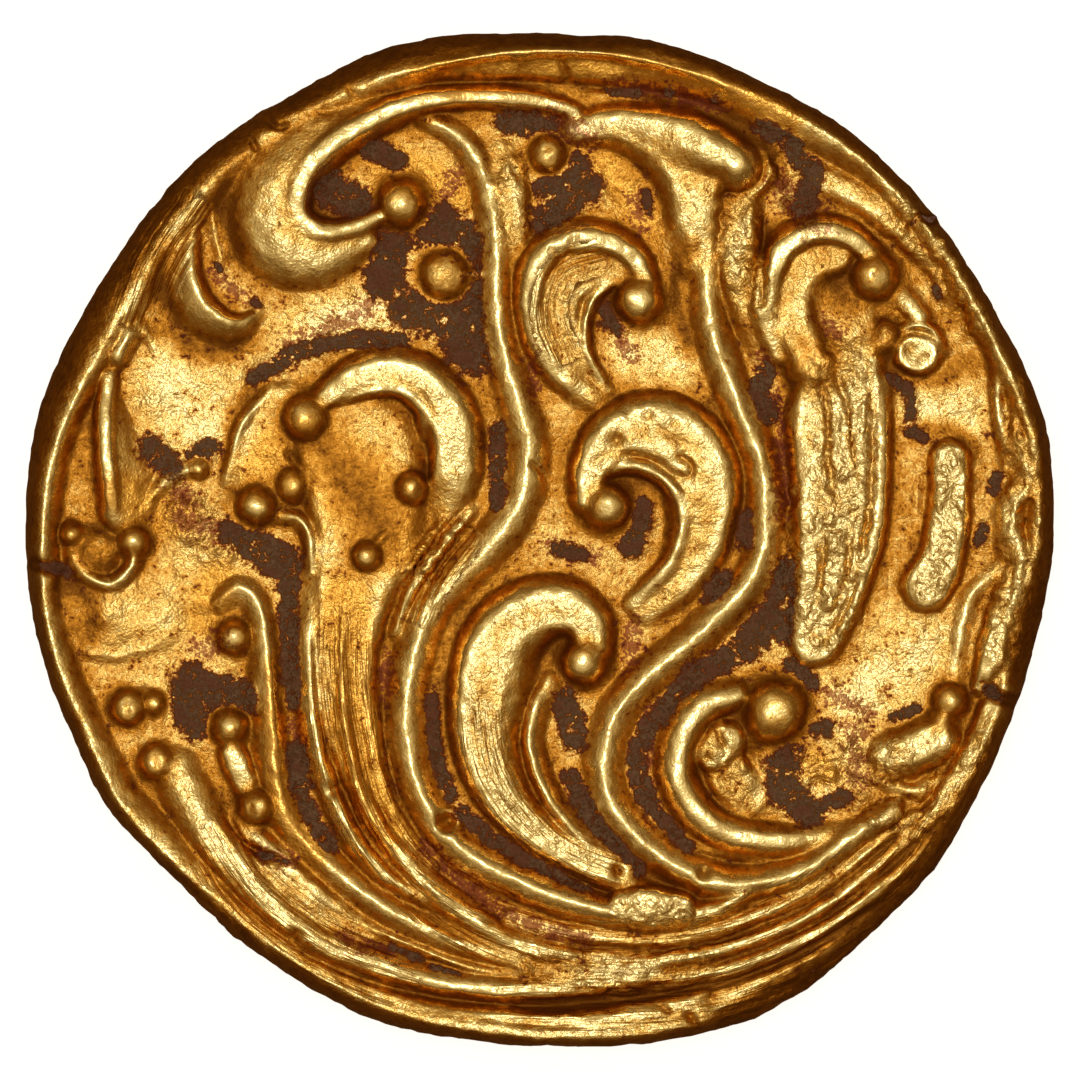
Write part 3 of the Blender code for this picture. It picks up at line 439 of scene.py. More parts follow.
RIGHT_FORMS = {
    "right curl body": Ridge(
        [(5.2, 4.98), (4.72, 4.8), (4.44, 4.3), (4.46, 3.8), (4.72, 3.15)],
        (.38, .42, .46, .5, .48), (.44, .46, .48, .5, .48), (.24, .28, .3, .32, .34), 1.9, .4),
    "right curl lip": Ridge(
        [(5.75, 5), (5.35, 5.3), (4.82, 5.36), (4.3, 5.06), (4.06, 4.5), (4.02, 3.9), (4.25, 3.3)],
        (.18, .22, .22, .18), (.3, .4, .42, .36), (.29, .39, .42, .4, .34, .24), (2.4, 1.7), (.4, .34)),
    "right curl inner": Ridge(
        [(5.2, 4.95), (4.92, 4.72), (4.82, 4.3), (4.9, 3.85)], .42, .3, (.12, .18, .18, .14), (1.2, 1.6)),
    "striped plate": Ridge(
        [(5.42, 4.1), (5.32, 3.2), (5.22, 2), (5.26, .9), (5.22, .1), (5.04, -.9), (4.78, -1.75)],
        (.5, .76, .9, .9, .85, .72, .54), (.5, .8, .94, .9, .8, .66, .42),
        (.12, .24, .28, .31, .31, .31, .2), 2.4, .7),
    "striped plate edge": Ridge(
        [(5.98, 2.8), (6, 2), (5.98, .9), (5.88, 0), (5.62, -.8), (5.16, -1.85)],
        .18, .2, (.18, .3, .34, .34, .32, .2), 1.8, .3),
    "bar": Ridge(
        [(7.2, 1.4), (7.2, .8), (7.04, -.35), (6.8, -.82)],
        (.36, .38, .4, .44), (.38, .4, .44, .5), (.24, .27, .25), 2.4, .6),
    "bar fold": Ridge([(6.68, 1.55), (6.62, .9), (6.6, .2)], .1, .1, (.04, .08, .05)),
    "rough ridge": Ridge(
        [(4.9, 6.35), (5.6, 6.02), (6.3, 5.52), (7, 4.82), (7.45, 4.1)],
        .28, .28, (.1, .17, .14, .06), 2.2, .4),
    "small hook": Ridge([(6.38, 4.25), (6.66, 3.92)], .22, .24, (.14, .2), 2, .3),
    "low curl": Ridge(
        [(3.45, -2.72), (2.9, -2.88), (2.5, -3.4), (2.4, -4), (2.56, -4.5), (2.92, -4.92), (3.5, -5.2),
         (4.4, -5.3), (5.45, -5.1)],
        (.3, .38, .38, .36, .36, .34, .2), (.3, .42, .42, .4, .36, .3, .2),
        (.3, .38, .41, .39, .34, .26, .1), (1.8, 1.7), (.25, .15)),
    "low curl ledge": Ridge([(3.28, -4.1), (3.62, -4.5)], .42, .42, (.12, .1), 2.6, .6),
    "leaf": Ridge([(6.2, -3.74), (6.5, -3.68), (6.95, -3.45)], .45, .48, (.2, .28, .27), 1.9, .35),
    "leaf fold": Ridge([(5.9, -4.15), (6.2, -4.35), (6.6, -4.38), (7, -4.2)], .12, .16, (.06, .13, .1)),
    "inner rim": Ridge(
        [(8.3, 2.3), (8.5, 1.5), (8.58, 1), (8.36, .62), (8.3, .2), (8.46, -.3), (8.28, -1.1),
         (7.95, -2.3)], (.2, .22, .22), (.3, .5, .45, .4, .4, .3), (.2, .28, .26, .26, .24), (1.8, 1.2)),
    "inner rim start": Ridge(
        [(8.05, 3.4), (8.03, 2.6), (8.1, 1.9), (8.25, 1.3)], .14, .16, (.14, .2, .18, .08)),
    "right fold": Ridge(
        [(8.3, -.3), (7.9, -.62), (7.55, -1), (7.38, -1.6), (7.25, -2.45)],
        .18, .2, (.06, .12, .13, .08), 1.6),
    "bright fold": Ridge(
        [(8.22, -.95), (8.02, -1.5), (7.88, -2), (7.76, -2.55)], .2, .22, (.12, .24, .28, .24), 2.2, .4),
    "low right rim": Ridge(
        [(8, -3), (7.75, -3.65), (7.4, -4.3), (6.95, -5), (6.4, -5.75)],
        (.4, .45, .45, .4), (.34, .36, .3), (.22, .22, .2, .12), 2.4, .6),
    "disc": Ridge([(6.56, 3.28), (6.68, 3.26)], .38, .38, .22, 2.8, .7),
    "disc edge": Ridge(
        [(6.2, 3.52), (6.5, 3.76), (6.9, 3.68), (7.08, 3.3)], .12, .14, (.1, .24, .26, .12)),
    "low curl plate": Ridge([(3.02, -3.74), (3.26, -3.5)], .36, .36, .22, 2.4, .6),
}

FLOWING_RIDGES = {
    "first flow": Ridge(
        [(-.5, -6.6), (.3, -6.83), (2, -7.05), (3, -6.9), (3.9, -6.55), (4.65, -6.22), (5.4, -5.75)],
        .18, .2, (.12, .17, .16, .1), 2.2, .4),
    "second flow": Ridge(
        [(1, -7.3), (2.2, -7.33), (3.3, -7.15), (4.2, -6.8), (5, -6.4), (5.8, -5.8), (6.5, -5.2)],
        .2, .24, (.12, .18, .18, .12), 2.2, .45),
    "third flow": Ridge(
        [(2.3, -7.68), (3.3, -7.5), (4.3, -7.15), (5.1, -6.75), (5.9, -6.15), (6.6, -5.55), (7.2, -4.9)],
        .22, .24, (.12, .16, .16, .1), 2.2, .45),
    "fourth flow": Ridge(
        [(3.2, -8), (4, -7.68), (4.8, -7.3), (5.6, -6.75), (6.3, -6.15)],
        .2, .22, (.08, .14, .12, .06), 2.2, .45),
    "short flow": Ridge(
        [(5.1, -6), (5.7, -5.52), (6.3, -5.05), (7, -4.6)], .14, .14, (.08, .16, .14, .1)),
    "thin fold": Ridge(
        [(-3.6, -6.5), (-2.4, -7.05), (-1.2, -7.5), (-.3, -7.62)], .12, .12, (.14, .2, .2, .16)),
    "knobbly band": Ridge(
        [(-.6, -7.5), (.5, -7.64), (1.6, -7.6), (2.9, -7.35)], .3, .3, (.1, .18, .18, .1), 2, .3),
    "bottom rim line": Ridge(
        [(-4, -7.4), (-3, -7.88), (-2, -8.15), (0, -8.36), (1.9, -8.22), (2.9, -7.98)],
        .2, .12, (.2, .26, .28, .26, .18)),
    "bottom rim band": Ridge(
        [(-3.2, -8.08), (-1.8, -8.48), (0, -8.62), (1.6, -8.54), (2.7, -8.28)],
        .36, .3, (.2, .34, .36, .34, .2), 2.2, .6),
}

OBVERSE_RIDGES = [*UPPER_WAVES.values(), *LONG_TENDRILS.values(), *MIDDLE_CURLS.values(),
                  *LEFT_FORMS.values(), *RIGHT_FORMS.values(), *FLOWING_RIDGES.values()]

OBVERSE_BEADS = [
    Bead(-2.42, 5.9, .42, .42), Bead(-1.68, 4.65, .42, .26), Bead(.13, 6.77, .32, .27),
    Bead(1.72, 4.22, .42, .46), Bead(1.16, .6, .42, .46), Bead(.77, -2.13, .4, .5),
    Bead(4.12, -3, .54, .5), Bead(-4.1, 2.13, .42, .44), Bead(-2.26, .9, .32, .46),
    Bead(-3.04, -.28, .3, .46), Bead(-4.98, .62, .36, .4), Bead(-4.35, .97, .3, .32),
    Bead(-6, 1.25, .17, .2), Bead(-7.13, -.03, .3, .34), Bead(-8.22, .1, .22, .24),
    Bead(-7.75, -.2, .42, .2), Bead(-5.35, -1.7, .3, .32), Bead(-5.44, -3.28, .32, .32),
    Bead(-7.23, -2.93, .31, .3), Bead(-6.78, -2.85, .22, .2), Bead(-6.72, -3.9, .31, .3),
    Bead(-4.97, -4.68, .34, .36), Bead(5.86, 4.62, .42, .42), Bead(4.78, 3.08, .5, .36),
    Bead(6.05, 3.55, .3, .24), Bead(7.2, -2.82, .3, .32), Bead(7.05, -3.18, .24, .28),
]

# Underside relief: plain commas whirl round a boss, each with a pellet in its hollow
BOSS = Bead(0, 0, .75, .2)
COMMAS = 3
COMMA_START = 2.3
COMMA_END = 5.0
COMMA_SWEEP = 125.0
COMMA_POINTS = 6
COMMA_LEFT = (.45, .5, .4, .2)
COMMA_RIGHT = (.7, .8, .5, .2)
COMMA_RISE = (.14, .2, .14, .08)
COMMA_FLAT = 0.2
PELLET_TURN = 35.0
PELLET_REACH = 4.5
PELLET_RADIUS = 0.4
PELLET_RISE = 0.2

# Finer forms of the struck face, which only show close by
FINE_RIDGES = [
    Ridge(
        [(-7.62, -.8), (-7.6, -1.3), (-7.6, -1.75)],
        (.4, .6, .45), (.45, .6, .4), (.14, .19, .1), (1.3, 1.1)),
    Ridge([(-7.58, 2.85), (-7.64, 2.2), (-7.6, 1.4), (-7.5, .6)], .18, .15, (.2, .36, .4, .34), 2.4, .65),
    Ridge(
        [(-7.85, 2.85), (-7.72, 3.45), (-7.32, 3.9), (-6.95, 3.68), (-6.7, 3.2)],
        .13, .14, (.08, .18, .18, .12, .04)),
    Ridge([(1.45, -6.42), (1.95, -6.35), (2.45, -6.45)], .3, .3, (.36, .46, .4), 2.4, .6),
    Ridge([(-3.1, -6.05), (-2.4, -6.4), (-1.2, -6.95)], .1, .12, (.09, .14, .09)),
    Ridge([(-3.24, -2), (-3.2, -3.4), (-2.85, -4.6)], .07, .07, (.07, .14, .07)),
    Ridge([(-3.7, -1.2), (-3.74, -2.9), (-3.5, -4), (-3.15, -4.8)], .07, .07, (.07, .13, .06)),
    Ridge(
        [(2.4, -5.1), (2.7, -5.35), (3.2, -5.5), (3.8, -5.6), (4.4, -5.55), (5, -5.35)],
        .08, .08, (.06, .13, .06)),
    Ridge([(2.9, -5), (3.4, -5.36), (4.2, -5.5), (4.9, -5.42)], .06, .06, (.04, .1, .04)),
    Ridge([(-8.1, -.72), (-7.8, -1.2), (-7.55, -1.68)], .07, .07, (.1, .14, .08)),
    Ridge([(-7.1, -.75), (-7.3, -1.2), (-7.55, -1.68)], .07, .07, (.1, .12, .08)),
    Ridge([(-5.45, .55), (-5.3, .98), (-4.92, 1.1), (-4.6, .85), (-4.52, .5)], .08, .08, .1),
    Ridge([(-5.1, 1.48), (-4.65, 1.52), (-4.3, 1.22), (-4, .75)], .1, .1, (.1, .16, .1)),
    Ridge(
        [(6.28, 3.1), (6.34, 3.46), (6.62, 3.58), (6.9, 3.42), (6.9, 3.1), (6.66, 2.96), (6.4, 3.04)],
        .06, .08, .25),
    Ridge(
        [(-2.9, 8.08), (-1.5, 8.4), (-.2, 8.56), (1.2, 8.52), (2.6, 8.22), (3.6, 7.84)],
        .1, .12, (.3, .4, .42, .42, .4, .32), 2, .4),
    Ridge([(5.84, -5.2), (5.78, -4.72)], .07, .08, (.2, .3, .14)),
    Ridge([(6.05, -5), (6.28, -4.55)], .07, .08, (.2, .26, .12)),
    Ridge([(5.5, -5.38), (5.42, -4.98)], .06, .07, (.2, .28, .12)),
    Ridge([(-6.1, 6), (-6.6, 5.5), (-7, 4.95)], .08, .08, (.05, .1, .05)),
    Ridge([(-6.35, 6.15), (-6.9, 5.55), (-7.35, 4.8)], .08, .08, (.05, .1, .05)),
    Ridge([(1.2, 4.9), (.7, 4.85), (.35, 4.5), (.25, 3.9), (.4, 3.3)], .06, .06, (.04, .08, .04)),
    Ridge([(.95, 4.62), (.6, 4.4), (.48, 3.9), (.6, 3.3)], .06, .06, (.04, .08, .04)),
    Ridge([(8.66, 1), (8.74, .6), (8.7, .1), (8.68, -.4)], .1, .1, (.06, .14, .06)),
    Ridge([(8.1, 1.4), (8.15, .9), (8.05, .4), (8.1, -.1)], .08, .1, (.06, .13, .06)),
    Ridge(
        [(-1.5, -5.22), (-1.42, -4.98), (-1.55, -4.76), (-1.78, -4.72), (-1.88, -4.92), (-1.7, -5.15)],
        .06, .06, (.16, .2, .16)),
    Ridge([(1.45, -6.5), (1.75, -6.25), (2.1, -6.18), (2.4, -6.4)], .08, .08, (.1, .16, .1)),
    Ridge([(4.5, .6), (4.45, -.2), (4.3, -.9)], .1, .12, (.06, .14, .08)),
    Ridge([(4.75, 2.4), (4.8, 1.6), (4.7, .6), (4.72, -.4)], .14, .16, (.24, .32, .32, .26)),
    Ridge([(5.32, .4), (5.25, -.4), (5.05, -1.1)], .12, .12, (.28, .34, .26)),
    Ridge(
        [(5.6, 3.3), (5.68, 2.4), (5.62, 1.4), (5.66, .4), (5.45, -.6)],
        .14, .14, (.22, .31, .33, .33, .28)),
    Ridge([(2, -6.85), (3.1, -6.68), (4, -6.3)], .08, .08, (.05, .11, .05)),
    Ridge([(3.6, -7), (4.5, -6.62), (5.3, -6.1), (5.9, -5.6)], .08, .08, (.06, .12, .06)),
    Ridge([(4.4, -7.45), (5.3, -6.9), (6.1, -6.2), (6.8, -5.5), (7.2, -4.9)], .08, .08, (.06, .13, .06)),
    Ridge([(6.6, -5), (7.05, -4.5), (7.4, -3.95)], .08, .08, (.05, .12, .05)),
    Ridge([(4.3, -7.75), (5.1, -7.2), (5.9, -6.6)], .07, .07, (.05, .12, .05)),
]

# Grooves that part the flowing ridges, browned with painted shade
FLOW_GROOVES = [
    [(.6, -7.08), (2, -7.2), (3, -7.06), (4.1, -6.7), (4.85, -6.33), (5.6, -5.8), (6.2, -5.25)],
    [(2.2, -7.54), (3.3, -7.33), (4.25, -6.98), (5.05, -6.58), (5.85, -5.98), (6.55, -5.38), (7, -4.9)],
    [(3.2, -7.8), (4.2, -7.42), (5, -7.02), (5.8, -6.45), (6.5, -5.85)],
]

# Grooves, scratches and pits, whose rise is their depth
GROOVES = [
    *[Ridge(path, .11, .11, (.03, .12, .13, .11, .03)) for path in FLOW_GROOVES],
    Ridge([(-4.74, 7.34), (-4.58, 7.2), (-4.46, 7.28)], .05, .05, .14),
    Ridge([(-5.06, 7.02), (-4.98, 6.86)], .05, .05, .12),
    Ridge([(-3.35, 7.9), (-3.25, 7.78)], .05, .05, .1),
    Ridge([(6.5, 5.52), (6.68, 5.7), (6.82, 5.6), (7, 5.72)], .06, .08, (.1, .2, .16)),
    Ridge([(2.1, -8.15), (2.3, -8.3)], .05, .05, .1), Ridge([(2.6, -8.3), (2.75, -8.5)], .05, .05, .12),
    Ridge([(-7.27, -2.8), (-7.22, -3.08)], .05, .05, .05),
    Ridge([(-6.75, -3.76), (-6.7, -4)], .05, .05, .05),
    Ridge([(-5.1, -4.5), (-5.05, -4.85)], .05, .05, .05),
    Ridge([(3.1, -3.35), (3.2, -3.6)], .05, .05, .08), Ridge([(.62, 5.32), (.5, 5.05)], .06, .06, .07),
    Ridge([(.2, 5.1), (.32, 4.92)], .05, .05, .06),
    Ridge([(4.95, 2.75), (5.04, 2.2), (5.06, 1.4), (5.16, .75)], .07, .07, (.02, .1, .09, .02)),
    Ridge([(5.18, 2.95), (5.38, 2.35), (5.46, 1.7), (5.58, 1.1)], .07, .07, (.02, .09, .08, .02)),
    Ridge(
        [(5.82, 3), (5.84, 2), (5.8, .8), (5.68, 0), (5.5, -.6)],
        .06, .07, (.02, .07, .06, .08, .03)),
    Ridge([(4.98, .2), (4.95, -.5), (4.82, -1.2)], .07, .07, (.02, .1, .03)),
    Ridge([(5.44, .1), (5.38, -.6), (5.12, -1.3)], .07, .07, (.02, .1, .03)),
    Ridge([(5.66, -.3), (5.42, -1.05), (5.02, -1.8)], .07, .08, (.02, .1, .04)),
    Ridge(
        [(-5.45, -4.95), (-5.2, -5.3), (-4.85, -5.52), (-4.45, -5.62)],
        .08, .09, (.04, .16, .18, .08)),
    Ridge(
        [(.9, 1.35), (1.3, 1.52), (1.75, 1.46), (2.2, 1.22), (2.62, .8)],
        .07, .09, (.02, .06, .06, .02)),
    Ridge([(-1.95, 1.95), (-1.95, 1.3), (-2.15, .8)], .08, .08, (.04, .1, .03)),
    Ridge([(-2.6, 2.8), (-2.15, 2.6), (-1.8, 2.1)], .06, .06, (.02, .06, .02)),
    Ridge([(-2, -8.25), (-1, -8.38), (0, -8.47), (1, -8.44), (1.6, -8.37)], .08, .08, (.02, .09, .03)),
    Ridge(
        [(-4, -7.2), (-3, -7.65), (-2, -7.95), (-1, -8.1), (0, -8.15), (1, -8.13), (2, -8), (3, -7.8)],
        .12, .12, (.03, .1, .1, .04)),
    Ridge([(.35, 8.4), (.45, 8.2), (.5, 8.05)], .06, .06, .1),
    Ridge(
        [(-1.9, 8.02), (-.6, 8.06), (.8, 7.98), (2.2, 7.82), (3.2, 7.6)],
        .07, .1, (.04, .1, .1, .04)),
    Ridge([(-.15, 1.35), (.02, 1.2), (.12, 1.05)], .05, .05, (.12, .1, .05)),
    Ridge([(-8.85, -.42), (-8.5, -.52), (-8.2, -.58)], .1, .12, (.22, .16, .04)),
    Ridge([(7.75, -2.55), (8.05, -2.75), (8.35, -2.85)], .12, .12, (.07, .25, .22)),
    Ridge([(2.1, 1.95), (2.3, 1.8), (2.5, 1.72)], .05, .05, .06),
    Ridge([(2.45, 1.45), (2.68, 1.3), (2.62, 1.1), (2.4, 1.15)], .06, .06, .09),
    Ridge([(3.95, 5.6), (3.93, 4.8), (3.88, 4.1)], .08, .08, (.05, .14, .08)),
    Ridge([(-6.6, -5.7), (-5.9, -6.2), (-5, -7)], .06, .06, (.02, .06, .02)),
]

PITS = [
    Bead(-1.66, -4.96, .17, .16), Bead(1.35, -5.8, .1, .11), Bead(2.85, -5.85, .12, .11),
    Bead(-3.62, -4.38, .12, .11), Bead(-4.3, -6.92, .12, .11), Bead(1.35, 1.75, .12, .08),
    Bead(-3.6, 1, .06, .05), Bead(-3.15, .7, .05, .04), Bead(1.3, 6.1, .1, .05),
    Bead(1.45, 5.9, .08, .04), Bead(.13, 6.85, .07, .05), Bead(3.6, -3.8, .14, .05),
    Bead(2.9, 2.3, .08, .04), Bead(1.9, 2.2, .1, .05), Bead(2.35, 2.05, .08, .04),
    Bead(1.5, 2.3, .07, .04), Bead(6.5, 3.35, .07, .05), Bead(6.72, 3.2, .06, .05),
    Bead(2.95, -3.8, .07, .05),
]

# Patches: by how far they spread, the paths that their middles follow
DARK_DEPOSITS = {
    .1: [[(-5.66, 4.82), (-5.6, 4.72)], [(-5.02, 4.16), (-4.92, 4.1)], [(-1.9, -7.48), (-1.4, -7.65)]],
    .11: [[(-2.6, -7.15), (-2.1, -7.35)]],
    .12: [[(1.86, 6.1), (1.9, 5.75)]],
    .13: [[(6.55, 5.58), (6.9, 5.66)]],
    .14: [[(6.6, 1.85), (6.75, 1.8)], [(1.2, 7.88), (1.7, 7.84)], [(2.25, 7.85), (2.3, 7.84)],
        [(3.05, 7.8), (3.1, 7.76)], [(6.95, 4.4), (7, 4.3)]],
    .16: [[(6.6, -2.95), (6.2, -3.1)], [(-4.85, -5.55), (-4.4, -5.65)]],
    .17: [[(6.15, 2.85), (6.45, 2.6), (6.5, 1.9)]],
    .18: [[(8, 1.1), (7.95, .9)], [(7.8, .2), (7.7, 0)]],
    .2: [[(-1.9, -2.8), (-1.82, -3.8), (-1.55, -4.5)], [(2.05, -4.8), (2.6, -5.4)],
        [(-8.65, -.45), (-8.3, -.55)], [(.3, -.15), (.75, -.25)]],
    .22: [[(-.72, 2), (-.75, 1.3), (-.72, .6)], [(-1.4, -4.75), (-.9, -5.2), (0, -5.75), (.8, -6.2)],
        [(7.85, -2.6), (8.05, -2.75)]],
    .24: [[(-5, 2.85), (-4.2, 3.32), (-3.3, 3.5), (-2.4, 3.5)], [(3.65, .4), (3.6, 0)],
        [(4.75, -4.75), (5.3, -4.5)]],
    .26: [[(-5.75, 1.65), (-6.05, 1.5)], [(-4.1, -4.6), (-3.95, -5), (-3.7, -5.35)],
        [(.55, -4.2), (.7, -4.5)], [(4.4, -2.15), (4.75, -2.5)], [(4.55, -3.35), (5, -3.3)]],
    .28: [[(1.95, -3.2), (1.68, -3.9), (1.95, -4.7)]],
    .3: [[(-3, 6.9), (-2.5, 6.65)], [(4.5, 6.75), (4.8, 6.45), (4.6, 5.85)],
        [(4, 3), (3.85, 2.6), (4, 2.2)], [(-4.42, -.5), (-4.38, -1.6), (-4.3, -2.8)]],
    .32: [[(1.2, 4), (1.38, 3.78)], [(.7, -4.55), (1.1, -5.1), (1.65, -5.75)], [(4.6, -.6), (4.3, -1.7)]],
    .34: [[(1.75, .55), (1.72, .25), (1.6, -.1)], [(3.95, 7.3), (4.45, 6.95)], [(3.2, -.75), (3.05, -1)],
        [(3.4, -2), (2.7, -2.4), (2.1, -3.1)]],
    .36: [[(-.55, 7.35), (.1, 7.22)], [(-6.85, 1.65), (-6.45, 1.25)], [(-4.28, -3.75), (-4.2, -4.3)],
        [(.45, -2.8), (.62, -3.5)]],
    .4: [[(.15, 6.25), (.85, 6.2)]],
    .42: [[(-1.25, 4.7), (-1.2, 4)], [(-6.2, -2.6), (-6.15, -3.05), (-6.05, -3.25)]],
    .46: [[(.6, 6.5), (.5, 5.95), (.15, 5.6)], [(4.35, -.6), (4.2, -1.2), (3.6, -1.85)]],
    .48: [[(-3.85, 6.3), (-3.5, 6.05), (-3.05, 5.85)], [(4.3, -3.75), (4.25, -4.3), (4.7, -4.75)]],
    .5: [[(-2.6, 5.15), (-2.75, 4.5)], [(-5.3, .12), (-4.9, -.15), (-4.45, -.45)],
        [(-6.1, -2.5), (-5.6, -2.68), (-5.2, -2.8)]],
    .62: [[(-1.9, 5.55), (-1.35, 5.2)], [(-2.3, 4.05), (-1.5, 3.85), (-1.2, 3.3)]],
}

RED_STAINS = {
    .26: [[(-5.7, 4.7), (-5.4, 4.4), (-5, 4.15)], [(-.1, 3.3), (-.15, 2.4)]],
    .28: [[(-3.4, -7), (-2.6, -7.25)]],
    .3: [[(-2.72, -2.1), (-2.68, -2.7)], [(1.3, 8.02), (2.2, 7.85), (3.2, 7.6)], [(4.9, 3.9), (5.2, 3.6)],
        [(1.4, 3.5), (1.6, 3.2)], [(4.2, 2.1), (4.25, .5)],
        [(-2, -5.4), (-1.1, -6.2), (0, -6.8), (.8, -7)], [(1.9, -2.9), (1.9, -5)]],
    .34: [[(-4.9, -5.45), (-4.4, -5.6)], [(1.7, 6), (1.8, 5.5)]],
    .35: [[(.2, -.1), (.9, -.3)], [(-4.35, -3.2), (-4.2, -3.6)]],
    .36: [[(1.6, -1.5), (1.6, -2.2)], [(-1.7, 5.9), (-1.5, 6.4)]],
    .4: [[(5.15, -2.7), (5.7, -3)], [(-6, -1.9), (-5.6, -1.8)], [(3.9, 3.1), (4.1, 2.2)]],
    .42: [[(3.1, -2.1), (2.6, -2.25)]],
    .45: [[(-2.8, 4.3), (-3.3, 3.9), (-4.4, 3.4)], [(.2, 7.4), (.9, 7)], [(5.5, -3.4), (5.6, -4.2)]],
    .5: [[(-6.3, .8), (-6.1, .5)], [(-6.3, .4), (-5.7, .2)], [(4.2, 6.2), (4.9, 5.5)]],
}

# Smooth fields whose film is thin and amber
AMBER_FIELDS = {
    .4: [[(-4.6, -2.2), (-4.55, -4.2), (-4, -5.6)]],
    .45: [[(4.6, -3.9), (5, -4.1)]],
    .6: [[(1, 6.7), (1.5, 6.2), (1.8, 5.5)], [(-5.6, -.7), (-5.8, -1.4)], [(-4.6, 1.6), (-4.9, 1.1)],
        [(-7.3, .8), (-6.4, .4)]],
    .65: [[(-2, 8.1), (.5, 8.2), (2.4, 8), (4.2, 7.3)]],
    .7: [[(-2.6, 6.6), (-1.6, 6.2)], [(-3.4, -1), (-3.2, -3.2), (-2.6, -5)]],
    1.2: [[(-3.9, 1.5), (-3.2, .8), (-2.5, .2)]],
}

# Hollows, grooves and slopes darkened with painted shade, partly a real dark brown film
FILMED_AND_SHADED = {
    .17: FLOW_GROOVES,
    .25: [[(-6.6, 5.3), (-6.7, 4.5), (-6.4, 3.8)], [(-5.45, 1.4), (-5.4, 2.2), (-4.9, 2.8)],
        [(2.6, 5.2), (2.35, 4.3), (2.6, 3.4)], [(6.6, 1.9), (7.2, 1.95), (7.6, 1.6)],
        [(0, -8.15), (3, -7.8)]],
    .3: [[(3.2, 7.35), (3.95, 7), (4.1, 6.4)], [(6.3, 3), (7, 2.8), (7.5, 3.1)],
        [(-5.2, 7.1), (-5.6, 6.2), (-5.3, 5)]],
    .35: [[(5.1, 4.6), (5.4, 4.2)], [(-6.7, 3.7), (-5.9, 3.3), (-5.1, 3.5)]],
    .4: [[(5, -7.5), (6.6, -6.1), (7.7, -4.4), (8.2, -3.2)]],
    .5: [[(-8.3, -.8), (-7.9, -1.1), (-7.85, -1.6)]],
    .6: [[(4.4, -7.7), (6, -6.5), (7.2, -5)]],
    .8: [[(-3.8, 1.5), (-3.2, .8), (-2.6, .2)]],
}

# Fields with a thin skin: bare hammered gold, without the brown film and painted shade of the other hollows
BARE_FIELDS = {
    .35: [[(4.6, -4), (4.9, -4.1)]],
    .4: [[(-6.9, 4), (-6.6, 3.4)]],
    .45: [[(-4.7, 5), (-4.1, 4.75), (-3.5, 4.85)], [(-1.5, 2.4), (-1.5, 1.4)]],
    .5: [[(7.2, 1.4), (7.05, -.3), (6.8, -.9)]],
    .6: [[(-3.8, 4.05), (-2.8, 3.85)], [(1.5, 3.4), (2.4, 3)], [(1, -7.3), (3.5, -7.1), (5.6, -5.9)]],
    .8: [[(6.8, 2.5), (7.6, 2.2)], [(5.6, -2.7), (6.6, -2), (7.1, -1.6)], [(5.3, 3), (5.35, 1), (5, -1.2)]],
    .95: [[(-6.7, 2.9), (-6, 2.2), (-5.6, 1.8)]],
}

# Crumpled metal: lumps and folds without a direction
CRUMPLED = {
    .25: [[(6.3, 4), (6.1, 3.7)]],
    .3: [[(6.9, -.9), (7.2, 1.3)]],
    .4: [[(4.4, .7), (4.3, -.6)], [(-1.6, .2), (-2.2, -.6)], [(4.2, 6.7), (4.5, 6)],
        [(7.3, -3.8), (6.6, -5)], [(-.5, 6.5), (-.45, 5.4)]],
    .42: [[(7.2, 1.4), (7.1, -.2), (6.85, -.85)]],
    .45: [[(1.5, -6.45), (2.5, -6.55)], [(5.7, -4.7), (6.1, -4.8)]],
    .5: [[(6.9, -4.6), (7.6, -3.7)], [(0, -7.5), (1.6, -7.6), (2.7, -7.4)], [(4.3, -4), (4.9, -4)],
        [(3.1, -3.6), (3.4, -4.3)]],
    .55: [[(8.4, 2.6), (8.5, 1.2), (8.5, .2), (8.3, -.8), (8.1, -1.8)]],
    .6: [[(3.5, 5.8), (3.45, 5.1), (3.7, 4.3)], [(-6.2, .5), (-5.6, 0)], [(5.6, -3.9), (6.2, -3.9)],
        [(6.4, 5.7), (7.1, 4.9), (7.7, 3.9)]],
    .85: [[(5.3, 3), (5.35, 1), (5, -1.4)]],
}

# A guide that fine lines run beside: its path, and how far they reach from it
Guide = namedtuple("Guide", "path reach")

LINED = [
    Guide([(4.2, -7.9), (5.8, -6.9), (7.1, -5.6), (8, -4), (8.3, -3.1)], .6),
    Guide(
        [(-3.45, -.6), (-3.4, -3), (-2.9, -4.9), (-1.8, -6.2), (.2, -7.1), (2.4, -7.2), (4.6, -6.5),
         (6.1, -5.2)], .8),
    Guide([(-1, -7.9), (1, -7.9), (3.2, -7.7), (5, -6.9), (6.4, -5.9), (7.4, -4.6)], .95),
    Guide([(-5.9, -4.9), (-5, -6.2), (-3.6, -7.2), (-2, -7.8)], .7),
    Guide([(-7.2, 3.6), (-6.7, 4.9), (-5.9, 6.1)], .6),
    Guide([(-1.1, -2.6), (-.8, -4.2), (.4, -5.5), (1.6, -6)], .5),
    Guide([(1.2, 5), (.4, 4.7), (.15, 4), (.5, 3)], .4),
    Guide([(-1.2, .3), (-1.9, -.6), (-2.3, -1.5)], .5),
]


